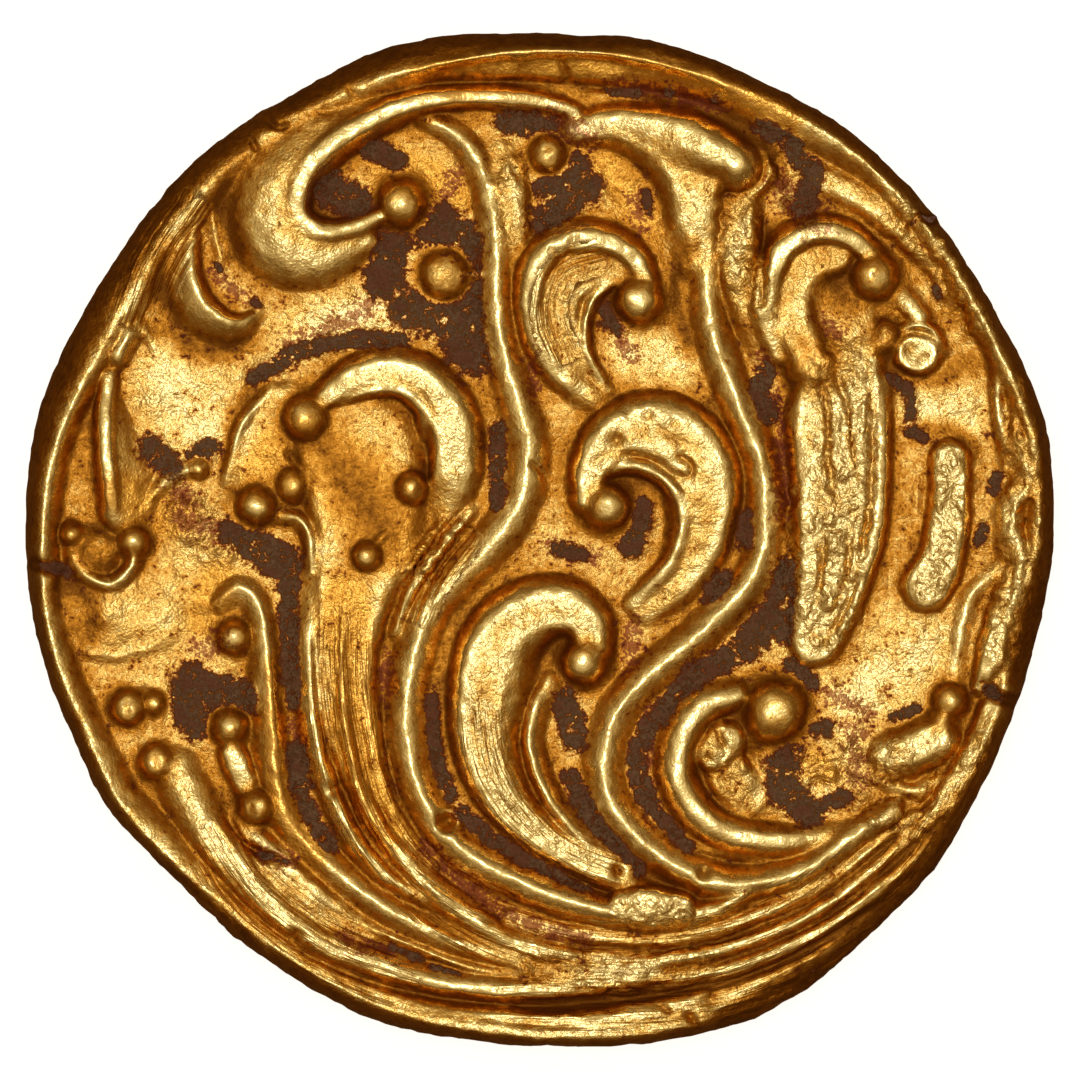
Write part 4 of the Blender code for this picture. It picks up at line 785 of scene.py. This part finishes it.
def spaced_path(points, step):
    """A smooth curve through the points, cut into even steps."""
    points = np.array(points, float)
    ends = np.vstack([2 * points[0] - points[1], points, 2 * points[-1] - points[-2]])
    t = np.linspace(0, 1, CURVE_PARTS, endpoint=False)[:, None]
    runs = []
    for before, start, end, after in zip(ends[:-3], ends[1:-2], ends[2:-1], ends[3:]):
        k0, k1, k2 = (np.sqrt(np.hypot(*(b - a))) for a, b in ((before, start), (start, end), (end, after)))
        leave = end - start + k1 * ((start - before) / k0 - (end - before) / (k0 + k1))
        arrive = end - start + k1 * ((after - end) / k2 - (after - start) / (k1 + k2))
        bend = 2 * (start - end) + leave + arrive
        runs.append(bend * t ** 3 - (bend + leave - (end - start)) * t ** 2 + leave * t + start)
    line = np.vstack(runs + [points[-1:]])
    along = np.concatenate([[0], np.cumsum(np.hypot(*np.diff(line, axis=0).T))])
    at = np.linspace(0, along[-1], max(2, round(along[-1] / step) + 1))
    return np.column_stack([np.interp(at, along, line[:, 0]), np.interp(at, along, line[:, 1])])


def ring_value(angles, stations, column):
    """A value given at some angles round the coin, read at any angle."""
    turns = np.array([row[0] for row in stations], float)
    values = np.array([row[column] for row in stations], float)
    lengths = np.concatenate([turns - 360, turns, turns + 360]) * DEGREE_LENGTH
    path = spaced_path(np.column_stack([lengths, np.tile(values, 3)]), RING_STEP)
    return np.interp(np.mod(angles, 360) * DEGREE_LENGTH, path[:, 0], path[:, 1])


ACROSS = np.arange(-SHEET_HALF, SHEET_HALF + SHEET_STEP / 2, SHEET_STEP)
SHEET_X, SHEET_Y = np.meshgrid(ACROSS, ACROSS)

# The last place at which the sheet is read, just before the last of its own
LAST_READ = len(ACROSS) - 1.001


def window(low, high):
    """The rows and columns of the sheet between two corners."""
    first = np.clip(np.floor((low + SHEET_HALF) / SHEET_STEP), 0, len(ACROSS) - 1).astype(int)
    last = np.clip(np.ceil((high + SHEET_HALF) / SHEET_STEP) + 1, 1, len(ACROSS)).astype(int)
    return slice(first[1], last[1]), slice(first[0], last[0])


def beside(points, reach):
    """The part of the sheet near a path, with how far off its places are, on which side and where along."""
    path = spaced_path(points, PATH_STEP)
    rows, columns = window(path.min(axis=0) - reach, path.max(axis=0) + reach)
    distance = np.full(SHEET_X[rows, columns].shape, float(reach))
    side = np.zeros_like(distance)
    along = np.zeros_like(distance)
    for i, (start, run) in enumerate(zip(path, np.diff(path, axis=0))):
        near = window(np.minimum(start, start + run) - reach, np.maximum(start, start + run) + reach)
        here = (slice(near[0].start - rows.start, near[0].stop - rows.start),
                slice(near[1].start - columns.start, near[1].stop - columns.start))
        off_x = SHEET_X[near] - start[0]
        off_y = SHEET_Y[near] - start[1]
        share = np.clip((off_x * run[0] + off_y * run[1]) / (run @ run), 0, 1)
        off_x -= share * run[0]
        off_y -= share * run[1]
        gap = np.hypot(off_x, off_y)
        closer = gap < distance[here]
        distance[here][closer] = gap[closer]
        side[here][closer] = ((run[0] * off_y - run[1] * off_x) / (np.hypot(*run) * gap + TINY))[closer]
        along[here][closer] = (i + share)[closer]
    return (rows, columns), distance, side, along / (len(path) - 1)


def drawn_out(values, along):
    """Values given from start to end of a path, read at shares of the way along it."""
    values = np.atleast_1d(values)
    return np.interp(along, np.linspace(0, 1, len(values)), values)


def on_side(side, left, right):
    """A value that goes over from the left flank's to the right flank's."""
    return (left + right + (left - right) * side) / 2


def ridge_on_sheet(ridge):
    """Where a ridge lies on the sheet, and how high it stands there."""
    reach = max(*np.atleast_1d(ridge.left), *np.atleast_1d(ridge.right))
    area, distance, side, along = beside(ridge.crest, reach)
    width = on_side(side, drawn_out(ridge.left, along), drawn_out(ridge.right, along))
    flat = on_side(side, *np.broadcast_to(ridge.flat, 2))
    fullness = on_side(side, *np.broadcast_to(ridge.fullness, 2))
    across = np.clip((distance / width - flat) / (1 - flat), 0, 1)
    return area, drawn_out(ridge.rise, along) * (1 - across ** fullness)


def bead_on_sheet(bead):
    """Where a domed bead lies on the sheet, and how high it stands there."""
    middle = np.array([bead.x, bead.y])
    area = window(middle - bead.radius * SKIRT, middle + bead.radius * SKIRT)
    across = np.hypot(SHEET_X[area] - bead.x, SHEET_Y[area] - bead.y) / bead.radius
    dome = np.sqrt(np.clip(1 - across ** BEAD_FULLNESS, 0, 1))
    skirt = SKIRT_RISE * np.clip(1 - across / SKIRT, 0, 1)
    return area, join(bead.rise * dome, bead.rise * skirt, BEAD_FOOT)


def join(first, second, blend=BLEND):
    """The higher of two forms, with a soft valley where they meet."""
    reach = np.clip(2 * np.minimum(first, second), TINY, blend)
    return np.maximum(first, second) + np.maximum(reach - np.abs(first - second), 0) ** 2 / (4 * reach)


def relief_sheet(ridges, beads):
    """The joined rise of ridges and beads all over the sheet."""
    rise = np.zeros_like(SHEET_X)
    for area, form in [*map(ridge_on_sheet, ridges), *map(bead_on_sheet, beads)]:
        rise[area] = join(rise[area], form)
    return rise


def patch_sheet(patches):
    """How strongly some patches cover the sheet, from 1 on their middle lines to 0 at their reach."""
    cover = np.zeros_like(SHEET_X)
    for reach, paths in patches.items():
        for path in paths:
            area, distance, _, _ = beside(path, reach)
            cover[area] = np.maximum(cover[area], 1 - distance / reach)
    return cover


def near_beads(beads, reach):
    """How near the places are to beads: 1 at a bead's middle, nothing at so many times its radius."""
    cover = np.zeros_like(SHEET_X)
    for bead in beads:
        off = np.hypot(SHEET_X - bead.x, SHEET_Y - bead.y) / bead.radius
        cover = np.maximum(cover, 1 - off / reach)
    return cover


def line_sheets(guides):
    """For the fine lines beside guides: how strong they are, how far off a guide and how far along it."""
    strength, weaker, across, down = (np.zeros_like(SHEET_X) for _ in range(4))
    for i, guide in enumerate(guides):
        length = len(spaced_path(guide.path, PATH_STEP)) * PATH_STEP
        area, distance, side, along = beside(guide.path, guide.reach)
        ends = np.clip(np.minimum(along, 1 - along) * LINE_ENDS, 0, 1)
        cover = (1 - distance / guide.reach) * ends
        stronger = cover > strength[area]
        weaker[area] = np.maximum(weaker[area], np.minimum(cover, strength[area]))
        strength[area][stronger] = cover[stronger]
        across[area][stronger] = (distance * np.sign(side) + LINE_SHIFT * i)[stronger]
        down[area][stronger] = (along * length)[stronger]
    return strength - weaker, across, down


def soften(sheet, width):
    """The sheet blurred over a width."""
    waves = np.fft.fftfreq(len(ACROSS), SHEET_STEP)
    fade = np.exp(-2 * (pi * width * waves) ** 2)
    return np.fft.ifft2(np.fft.fft2(sheet) * fade[:, None] * fade).real


def read_sheet(sheet, places):
    """The sheet's value at any places, blended between its four nearest."""
    at = np.clip((places + SHEET_HALF) / SHEET_STEP, 0, LAST_READ)
    column, row = at.astype(int).T
    right, up = (at - np.floor(at)).T
    low = sheet[row, column] * (1 - right) + sheet[row, column + 1] * right
    high = sheet[row + 1, column] * (1 - right) + sheet[row + 1, column + 1] * right
    return low * (1 - up) + high * up


def polar(places):
    """Distance from the middle, and angle in degrees."""
    return np.hypot(places[:, 0], places[:, 1]), np.degrees(np.arctan2(places[:, 1], places[:, 0]))


def at_angle(angle, radius):
    """The place at an angle in degrees and a distance from the middle."""
    return radius * cos(radians(angle)), radius * sin(radians(angle))


def edge_fall(depth_in, inset):
    """How far the rounded edge has fallen: none at the inset, all at the outline."""
    return 1 - np.sqrt(1 - np.clip(1 - depth_in / inset, 0, 1) ** EDGE_FULLNESS)


def face_sheets():
    """Sheets of the struck face: the relief before the edge falls, and what its finish and painted shade
    depend on.
    """
    sheet_places = np.column_stack([SHEET_X.ravel(), SHEET_Y.ravel()])
    radius, angle = polar(sheet_places)
    depth_in = ring_value(angle, OUTLINE, 1) - radius
    inset, rise, inner = (ring_value(angle, RIM, column) for column in (1, 2, 3))
    rim = rise * (1 - np.clip((depth_in - inset) / inner, 0, 1) ** EDGE_FULLNESS)
    relief = relief_sheet(OBVERSE_RIDGES + FINE_RIDGES, OBVERSE_BEADS)
    relief = join(relief, rim.reshape(SHEET_X.shape))
    height = relief ** 2 / (relief + FILLET) - relief_sheet(GROOVES, PITS)
    foot = np.clip(1 - height / DEPOSIT_DEPTH, -1, 1)
    height += (FIELD_HEIGHT + FIELD_DOME * (1 - (radius / FLAN_RADIUS) ** 2)).reshape(SHEET_X.shape)
    height = soften(height, WORN_SOFT)
    steep = np.clip(np.hypot(*np.gradient(height, SHEET_STEP)) / STEEP, 0, 1)
    strength, across, down = line_sheets(LINED)
    # Painted shade that browns the edge's rounded bevel
    edge_shade = np.clip((1 - depth_in / inset) * EDGE_SHADE, 0, 1).reshape(SHEET_X.shape)
    tops = near_beads([bead for bead in OBVERSE_BEADS if bead.rise >= POLISHED_RISE], 1)
    rings = near_beads(OBVERSE_BEADS, RING_REACH)
    free = np.clip(1 - rings * RING_REACH / (RING_REACH - 1), 0, 1)
    crest = np.maximum((height - soften(height, CREST_WIDTH)) / CREST_RISE, tops)
    deposit = patch_sheet(DARK_DEPOSITS) * np.where(foot > 0, free, DEPOSIT_ABOVE)
    return {
        "height": height,
        "hollow": (soften(height, HOLLOW_WIDTH) - height) / HOLLOW_DEPTH,
        "crest": crest * (1 - FLANK_DULL * steep),
        "steep": steep,
        "deposit": deposit + np.minimum(foot, 0) * DEPOSIT_FALL,
        "stain": patch_sheet(RED_STAINS),
        "amber": patch_sheet(AMBER_FIELDS),
        "bare": patch_sheet(BARE_FIELDS),
        # Painted shade on the listed hollows and slopes, on the edge's bevel and round the beads, partly a
        # real brown film
        "filmed_and_shaded": np.maximum(patch_sheet(FILMED_AND_SHADED), np.maximum(edge_shade, rings * RING_SHADE)),
        "crumple": patch_sheet(CRUMPLED) * np.clip(depth_in / EDGE_CALM, 0, 1).reshape(SHEET_X.shape),
        "lines": strength,
        "across": across,
        "down": down,
    }


def top_height(places, sheets):
    """The struck face."""
    radius, angle = polar(places)
    depth_in = ring_value(angle, OUTLINE, 1) - radius
    height = read_sheet(sheets["height"], places)
    return height + (EDGE_HEIGHT - height) * edge_fall(depth_in, ring_value(angle, RIM, 1))


def reverse_forms():
    """The plain commas, pellets and boss of the underside."""
    ridges = []
    beads = [BOSS]
    for start in np.arange(COMMAS) * 360 / COMMAS:
        crest = [at_angle(start + COMMA_SWEEP * share, COMMA_START + (COMMA_END - COMMA_START) * share)
                 for share in np.linspace(0, 1, COMMA_POINTS)]
        ridges.append(Ridge(crest, COMMA_LEFT, COMMA_RIGHT, COMMA_RISE, flat=COMMA_FLAT))
        beads.append(Bead(*at_angle(start + PELLET_TURN, PELLET_REACH), PELLET_RADIUS, PELLET_RISE))
    return ridges, beads


def underside_height(places):
    """The plain underside: a dish inside the flat ring it rests on."""
    radius, angle = polar(places)
    dish = DISH_DEPTH * (1 - np.clip(radius / DISH_RADIUS, 0, 1) ** DISH_FULLNESS)
    height = np.maximum(dish - read_sheet(relief_sheet(*reverse_forms()), places), 0)
    fall = edge_fall(ring_value(angle, OUTLINE, 1) - radius, REST_INSET)
    return height + (EDGE_HEIGHT - height) * fall


def mesh_numbers(mesh):
    """The mesh's vertices as an array."""
    numbers = np.empty(len(mesh.vertices) * 3)
    mesh.vertices.foreach_get("co", numbers)
    return numbers.reshape(-1, 3)


def pressed_flan(sheets):
    """A ball of even facets, pressed into the struck face above and the underside below."""
    shape = bmesh.new()
    bmesh.ops.create_icosphere(shape, subdivisions=BALL_CUTS, radius=1)
    mesh = bpy.data.meshes.new("struck coin")
    shape.to_mesh(mesh)
    shape.free()
    ball = mesh_numbers(mesh)
    upper = ball[:, 2] > BALL_MIDDLE
    angle = np.arctan2(ball[:, 1], ball[:, 0])
    share = np.sqrt(1 - np.clip(np.abs(ball[:, 2]), 0, 1))
    radius = share * ring_value(np.degrees(angle), OUTLINE, 1)
    places = np.column_stack([radius * np.cos(angle), radius * np.sin(angle)])
    heights = np.empty(len(ball))
    heights[upper] = top_height(places[upper], sheets)
    heights[~upper] = underside_height(places[~upper])
    mesh.vertices.foreach_set("co", np.column_stack([places, heights]).ravel())
    for name, sheet in sheets.items():
        values = np.where(upper, read_sheet(sheet, places), 0)
        mesh.attributes.new(name, "FLOAT", "POINT").data.foreach_set("value", values)
    return mesh


def node(tree, kind, inputs=None, **settings):
    """A node with its settings, and its inputs set to values or linked to other nodes' outputs."""
    made = tree.nodes.new(kind)
    for name, value in settings.items():
        setattr(made, name, value)
    for key, value in (inputs or {}).items():
        if isinstance(value, bpy.types.NodeSocket):
            tree.links.new(value, made.inputs[key])
        else:
            made.inputs[key].default_value = value
    return made


def calc(tree, operation, *values, clamp=False):
    """The result of a sum on values or sockets."""
    inputs = dict(enumerate(values))
    return node(tree, "ShaderNodeMath", inputs, operation=operation, use_clamp=clamp).outputs[0]


def noise(tree, place, size, detail=2.0):
    """Cloudy noise from 0 to 1, whose clouds measure size."""
    inputs = {"Vector": place, "Scale": 1 / size, "Detail": detail}
    return node(tree, "ShaderNodeTexNoise", inputs).outputs[0]


def ramp(tree, value, low, high, at_low=0.0, at_high=1.0):
    """A soft step: at_low up to low, at_high from high."""
    inputs = {"Value": value, "From Min": low, "From Max": high, "To Min": at_low, "To Max": at_high}
    return node(tree, "ShaderNodeMapRange", inputs, interpolation_type="SMOOTHSTEP").outputs[0]


def blend_colors(tree, share, first, second):
    """A colour between two."""
    return node(tree, "ShaderNodeMix", {0: share, 6: first, 7: second}, data_type="RGBA").outputs[2]


def new_group(name, kind, inputs, outputs):
    """An empty node group with named inputs and outputs."""
    tree = bpy.data.node_groups.new(name, kind)
    for direction, sockets in (("INPUT", inputs), ("OUTPUT", outputs)):
        for label, kind, *start in sockets:
            socket = tree.interface.new_socket(label, in_out=direction, socket_type="NodeSocket" + kind)
            if start:
                socket.default_value = start[0]
    return tree, tree.nodes.new("NodeGroupInput").outputs, tree.nodes.new("NodeGroupOutput").inputs


def handwork_tree():
    """Geometry nodes: the unevenness, lines, lumps and crusts that handwork and burial leave."""
    tree, given, out = new_group(
        "handwork on metal", "GeometryNodeTree",
        [("Coin", "Geometry"), ("Unevenness", "Float", .12), ("Unevenness size", "Float", .9),
         ("Dimples", "Float", .075), ("Dimple size", "Float", .24), ("Line depth", "Float", .11),
         ("Line width", "Float", .1), ("Crumple depth", "Float", .42), ("Crumple size", "Float", .42),
         ("Crust", "Float", .05), ("Crust size", "Float", .09), ("Seed", "Float", 4.0),
         ("Finish", "Material")],
        [("Coin", "Geometry")])

    def field(name):
        return node(tree, "GeometryNodeInputNamedAttribute", {"Name": name}, data_type="FLOAT").outputs[0]

    def cloud(place, size, detail=2.0):
        inputs = {"Vector": place, "W": given["Seed"], "Scale": calc(tree, "DIVIDE", 1.0, size),
                  "Detail": detail}
        return node(tree, "ShaderNodeTexNoise", inputs, noise_dimensions="4D").outputs[0]

    def swing(value, depth):
        return calc(tree, "MULTIPLY", calc(tree, "SUBTRACT", value, .5), depth)

    place = node(tree, "GeometryNodeInputPosition").outputs[0]
    along_lines = node(tree, "ShaderNodeCombineXYZ", {
        0: field("across"), 1: calc(tree, "MULTIPLY", field("down"), LINE_STRETCH)}).outputs[0]
    uneven = swing(cloud(place, given["Unevenness size"]), given["Unevenness"])
    dimples = swing(cloud(place, given["Dimple size"], 1.0), given["Dimples"])
    lines = calc(tree, "MULTIPLY", ramp(tree, field("lines"), *LINES_SET_IN),
                 swing(cloud(along_lines, given["Line width"]), given["Line depth"]))
    lumps = calc(tree, "ABSOLUTE", swing(cloud(place, given["Crumple size"]), given["Crumple depth"]))
    crumple = calc(tree, "MULTIPLY", ramp(tree, field("crumple"), *CRUMPLE_SETS_IN), lumps)
    crust = calc(tree, "MULTIPLY", ramp(tree, field("deposit"), *CRUST_SETS_IN),
                 calc(tree, "MULTIPLY", cloud(place, given["Crust size"]), given["Crust"]))
    lift = crust
    for part in (uneven, dimples, lines, crumple):
        lift = calc(tree, "ADD", lift, part)
    offset = node(tree, "ShaderNodeVectorMath", {0: node(tree, "GeometryNodeInputNormal").outputs[0],
                                                 "Scale": lift}, operation="SCALE").outputs[0]
    moved = node(tree, "GeometryNodeSetPosition", {"Geometry": given["Coin"], "Offset": offset}).outputs[0]
    real = node(tree, "GeometryNodeRealizeInstances", {0: moved}).outputs[0]
    finished = node(tree, "GeometryNodeSetMaterial", {"Geometry": real, "Material": given["Finish"]})
    tree.links.new(finished.outputs[0], out["Coin"])
    return tree


def finished_gold():
    """Worn struck gold: bright on the crests, brown film and painted shade in hollows and on steep flanks,
    dark and reddish deposits.
    """
    material = bpy.data.materials.new("struck gold")
    material.use_nodes = True
    tree = material.node_tree
    shader = tree.nodes["Principled BSDF"]

    def swing(place, size, detail=2.0):
        """Noise that swings by up to a half to either side of nothing."""
        return calc(tree, "SUBTRACT", noise(tree, place, size, detail), .5)

    def add(start, value, weight):
        """A start and a value times its weight."""
        return calc(tree, "MULTIPLY_ADD", value, weight, start)

    def total(start, weights):
        """A start and every field that has a weight, times that weight."""
        for name, weight in weights.items():
            start = add(start, field[name], weight)
        return start

    field = {name: node(tree, "ShaderNodeAttribute", attribute_name=name).outputs["Fac"] for name in FIELDS}
    place = node(tree, "ShaderNodeVectorMath", {0: node(tree, "ShaderNodeTexCoord").outputs["Object"],
                                                "Scale": TO_MM}, operation="SCALE").outputs[0]
    for name, (size, detail) in CLOUDS.items():
        field[name] = swing(place, size, detail)
    along_lines = node(tree, "ShaderNodeCombineXYZ", {
        0: field["across"], 1: calc(tree, "MULTIPLY", field["down"], LINE_STRETCH)}).outputs[0]
    field["streaks"] = calc(tree, "MULTIPLY", swing(along_lines, STREAK_WIDTH),
                            ramp(tree, field["lines"], *LINES_SET_IN))
    field["folds"] = calc(tree, "MULTIPLY", calc(tree, "ABSOLUTE", swing(place, *FOLDS)),
                          ramp(tree, field["crumple"], *FOLDS_SET_IN))

    ragged = calc(tree, "MINIMUM", field["deposit"], DEPOSIT_CORE)
    ragged = calc(tree, "SUBTRACT", ragged, ramp(tree, field["deposit"], *DEPOSIT_FREE))
    ragged = total(ragged, RAGGED_WEIGHTS)
    deposit = ramp(tree, ragged, *DEPOSIT_AT)
    fringe = ramp(tree, ragged, *FRINGE_AT)
    # Brown film together with painted shade, which the hollow, steep and shaded patch fields add
    film_and_shade = add(total(FILM_START, FILM_AND_SHADE_WEIGHTS), fringe, FRINGE_FILM)
    fringe = calc(tree, "SUBTRACT", fringe, deposit, clamp=True)
    stain = ramp(tree, total(field["stain"], STAIN_WEIGHTS), *STAIN_AT)
    reddened = calc(tree, "MAXIMUM", calc(tree, "MULTIPLY", fringe, FRINGE_RED),
                    calc(tree, "MULTIPLY", stain, STAIN_RED))

    covers = {"film_and_shade": film_and_shade, "amber": total(field["amber"], AMBER_WEIGHTS)}
    gold = POLISHED_GOLD
    for name, steps, color in GOLD_LAYERS:
        gold = blend_colors(tree, ramp(tree, covers[name], *steps), gold, color)
    gold = blend_colors(tree, reddened, gold, RED_STAIN)
    earth = blend_colors(tree, ramp(tree, total(0, EARTH_WEIGHTS), *EARTH_AT), DARK_EARTH, PALE_EARTH)
    rusty = add(total(0, RUST_WEIGHTS), deposit, RUST_HIDDEN)
    earth = blend_colors(tree, ramp(tree, rusty, *RUST_AT), earth, RED_EARTH)
    tree.links.new(blend_colors(tree, deposit, gold, earth), shader.inputs["Base Color"])
    tree.links.new(calc(tree, "SUBTRACT", 1.0, deposit), shader.inputs["Metallic"])

    rough = add(GOLD_ROUGH, calc(tree, "MAXIMUM", film_and_shade, 0.0), FILM_ROUGH)
    rough = add(add(rough, field["gritty"], GRIT_ROUGH), reddened, RED_ROUGH)
    rough = calc(tree, "MAXIMUM", rough, calc(tree, "MULTIPLY", deposit, EARTH_ROUGH))
    tree.links.new(rough, shader.inputs["Roughness"])

    worked = calc(tree, "ADD", ramp(tree, noise(tree, place, WORKED_FIELD), *WORKED_AT), field["bare"])
    worked = calc(tree, "MULTIPLY", noise(tree, place, WORKED_SIZE), worked)
    height = total(add(BUMP_START, worked, WORKED_BUMP), BUMP_WEIGHTS)
    polish = calc(tree, "MULTIPLY", ramp(tree, field["crest"], *POLISH_AT),
                  add(1.0, field["steep"], STEEP_BUMP))
    height = total(calc(tree, "MULTIPLY", height, polish), MARK_WEIGHTS)
    height = add(height, deposit, add(EARTH_BUMP / 2, field["gritty"], EARTH_BUMP))
    bump = node(tree, "ShaderNodeBump", {"Strength": BUMP_STRENGTH, "Distance": BUMP_DEPTH * MM,
                                         "Height": height})
    tree.links.new(bump.outputs[0], shader.inputs["Normal"])
    return material


def set_input(modifier, name, value):
    """Sets a geometry-nodes modifier's input by its name's identifier."""
    for item in modifier.node_group.interface.items_tree:
        if item.in_out == "INPUT" and item.name == name:
            modifier[item.identifier] = value


def make_coin():
    """The coin, pressed, worked, thinned to its budget and brought to metres."""
    coin = bpy.data.objects.new("gold_coin", pressed_flan(face_sheets()))
    bpy.context.scene.collection.objects.link(coin)
    handwork = coin.modifiers.new("handwork", "NODES")
    handwork.node_group = handwork_tree()
    set_input(handwork, "Finish", finished_gold())
    fewer = coin.modifiers.new("fewer triangles", "DECIMATE")
    fewer.ratio = min(1, TRIANGLES / len(coin.data.polygons))
    mesh = bpy.data.meshes.new_from_object(coin.evaluated_get(bpy.context.evaluated_depsgraph_get()))
    coin.modifiers.clear()
    low, high = (np.array(corner) * TO_MM for corner in CAD_BOX)
    mesh.vertices.foreach_set("co", np.clip(mesh_numbers(mesh), low, high).ravel())
    mesh.transform(Matrix.Scale(MM, 4))
    mesh.shade_smooth()
    coin.data = mesh
    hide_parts("coin")
    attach(coin, "root")


def pale_floor():
    """A white table that fades any shadow and isn't mirrored in the gold."""
    shape = bmesh.new()
    bmesh.ops.create_circle(shape, cap_ends=True, segments=FLOOR_SIDES, radius=FLOOR_RADIUS)
    mesh = bpy.data.meshes.new("floor")
    shape.to_mesh(mesh)
    shape.free()
    floor = bpy.data.objects.new("floor", mesh)
    bpy.context.scene.collection.objects.link(floor)
    material = bpy.data.materials.new("white table")
    material.use_nodes = True
    shader = material.node_tree.nodes["Principled BSDF"]
    shader.inputs["Base Color"].default_value = FLOOR_COLOR
    shader.inputs["Roughness"].default_value = 1
    shader.inputs["Specular IOR Level"].default_value = 0
    shader.inputs["Emission Color"].default_value = WHITE
    shader.inputs["Emission Strength"].default_value = FLOOR_GLOW
    mesh.materials.append(material)
    floor.visible_glossy = False


def studio_dome():
    """Soft light from above that fades into a dim warm room, and plain white for the camera."""
    world = bpy.data.worlds.new("studio dome")
    world.use_nodes = True
    tree = world.node_tree
    direction = node(tree, "ShaderNodeTexCoord").outputs["Generated"]
    middle = Vector((sin(radians(DOME_LEAN[0])), sin(radians(DOME_LEAN[1])), 1)).normalized()
    facing = node(tree, "ShaderNodeVectorMath", {0: direction, 1: middle}, operation="DOT_PRODUCT")
    angle = calc(tree, "DIVIDE", calc(tree, "ARCCOSINE", facing.outputs["Value"]), pi)
    fade = node(tree, "ShaderNodeValToRGB", {0: angle})
    stops = fade.color_ramp.elements
    while len(stops) < len(DOME_LIGHT):
        stops.new(0)
    for stop, (degrees_off, strength, color) in zip(stops, DOME_LIGHT):
        stop.position = degrees_off / 180
        stop.color = (*(strength / DOME_STRENGTH * part for part in color), 1)
    light = tree.nodes["Background"]
    tree.links.new(fade.outputs[0], light.inputs["Color"])
    light.inputs["Strength"].default_value = DOME_STRENGTH
    white = node(tree, "ShaderNodeBackground", {"Color": WHITE})
    seen = node(tree, "ShaderNodeLightPath").outputs["Is Camera Ray"]
    both = node(tree, "ShaderNodeMixShader", {0: seen, 1: light.outputs[0], 2: white.outputs[0]})
    tree.links.new(both.outputs[0], tree.nodes["World Output"].inputs["Surface"])
    bpy.context.scene.world = world


def camera_above():
    """A long lens straight above the face."""
    data = bpy.data.cameras.new("camera")
    data.lens = LENS
    data.sensor_width = SENSOR
    data.clip_start = NEAREST
    camera = bpy.data.objects.new("camera", data)
    camera.location = (0, 0, (FIELD_HEIGHT + VIEW_WIDTH * LENS / SENSOR) * MM)
    bpy.context.scene.collection.objects.link(camera)
    bpy.context.scene.camera = camera


def main():
    scene = bpy.context.scene
    scene.view_settings.view_transform = "Standard"
    make_coin()
    pale_floor()
    studio_dome()
    camera_above()


main()
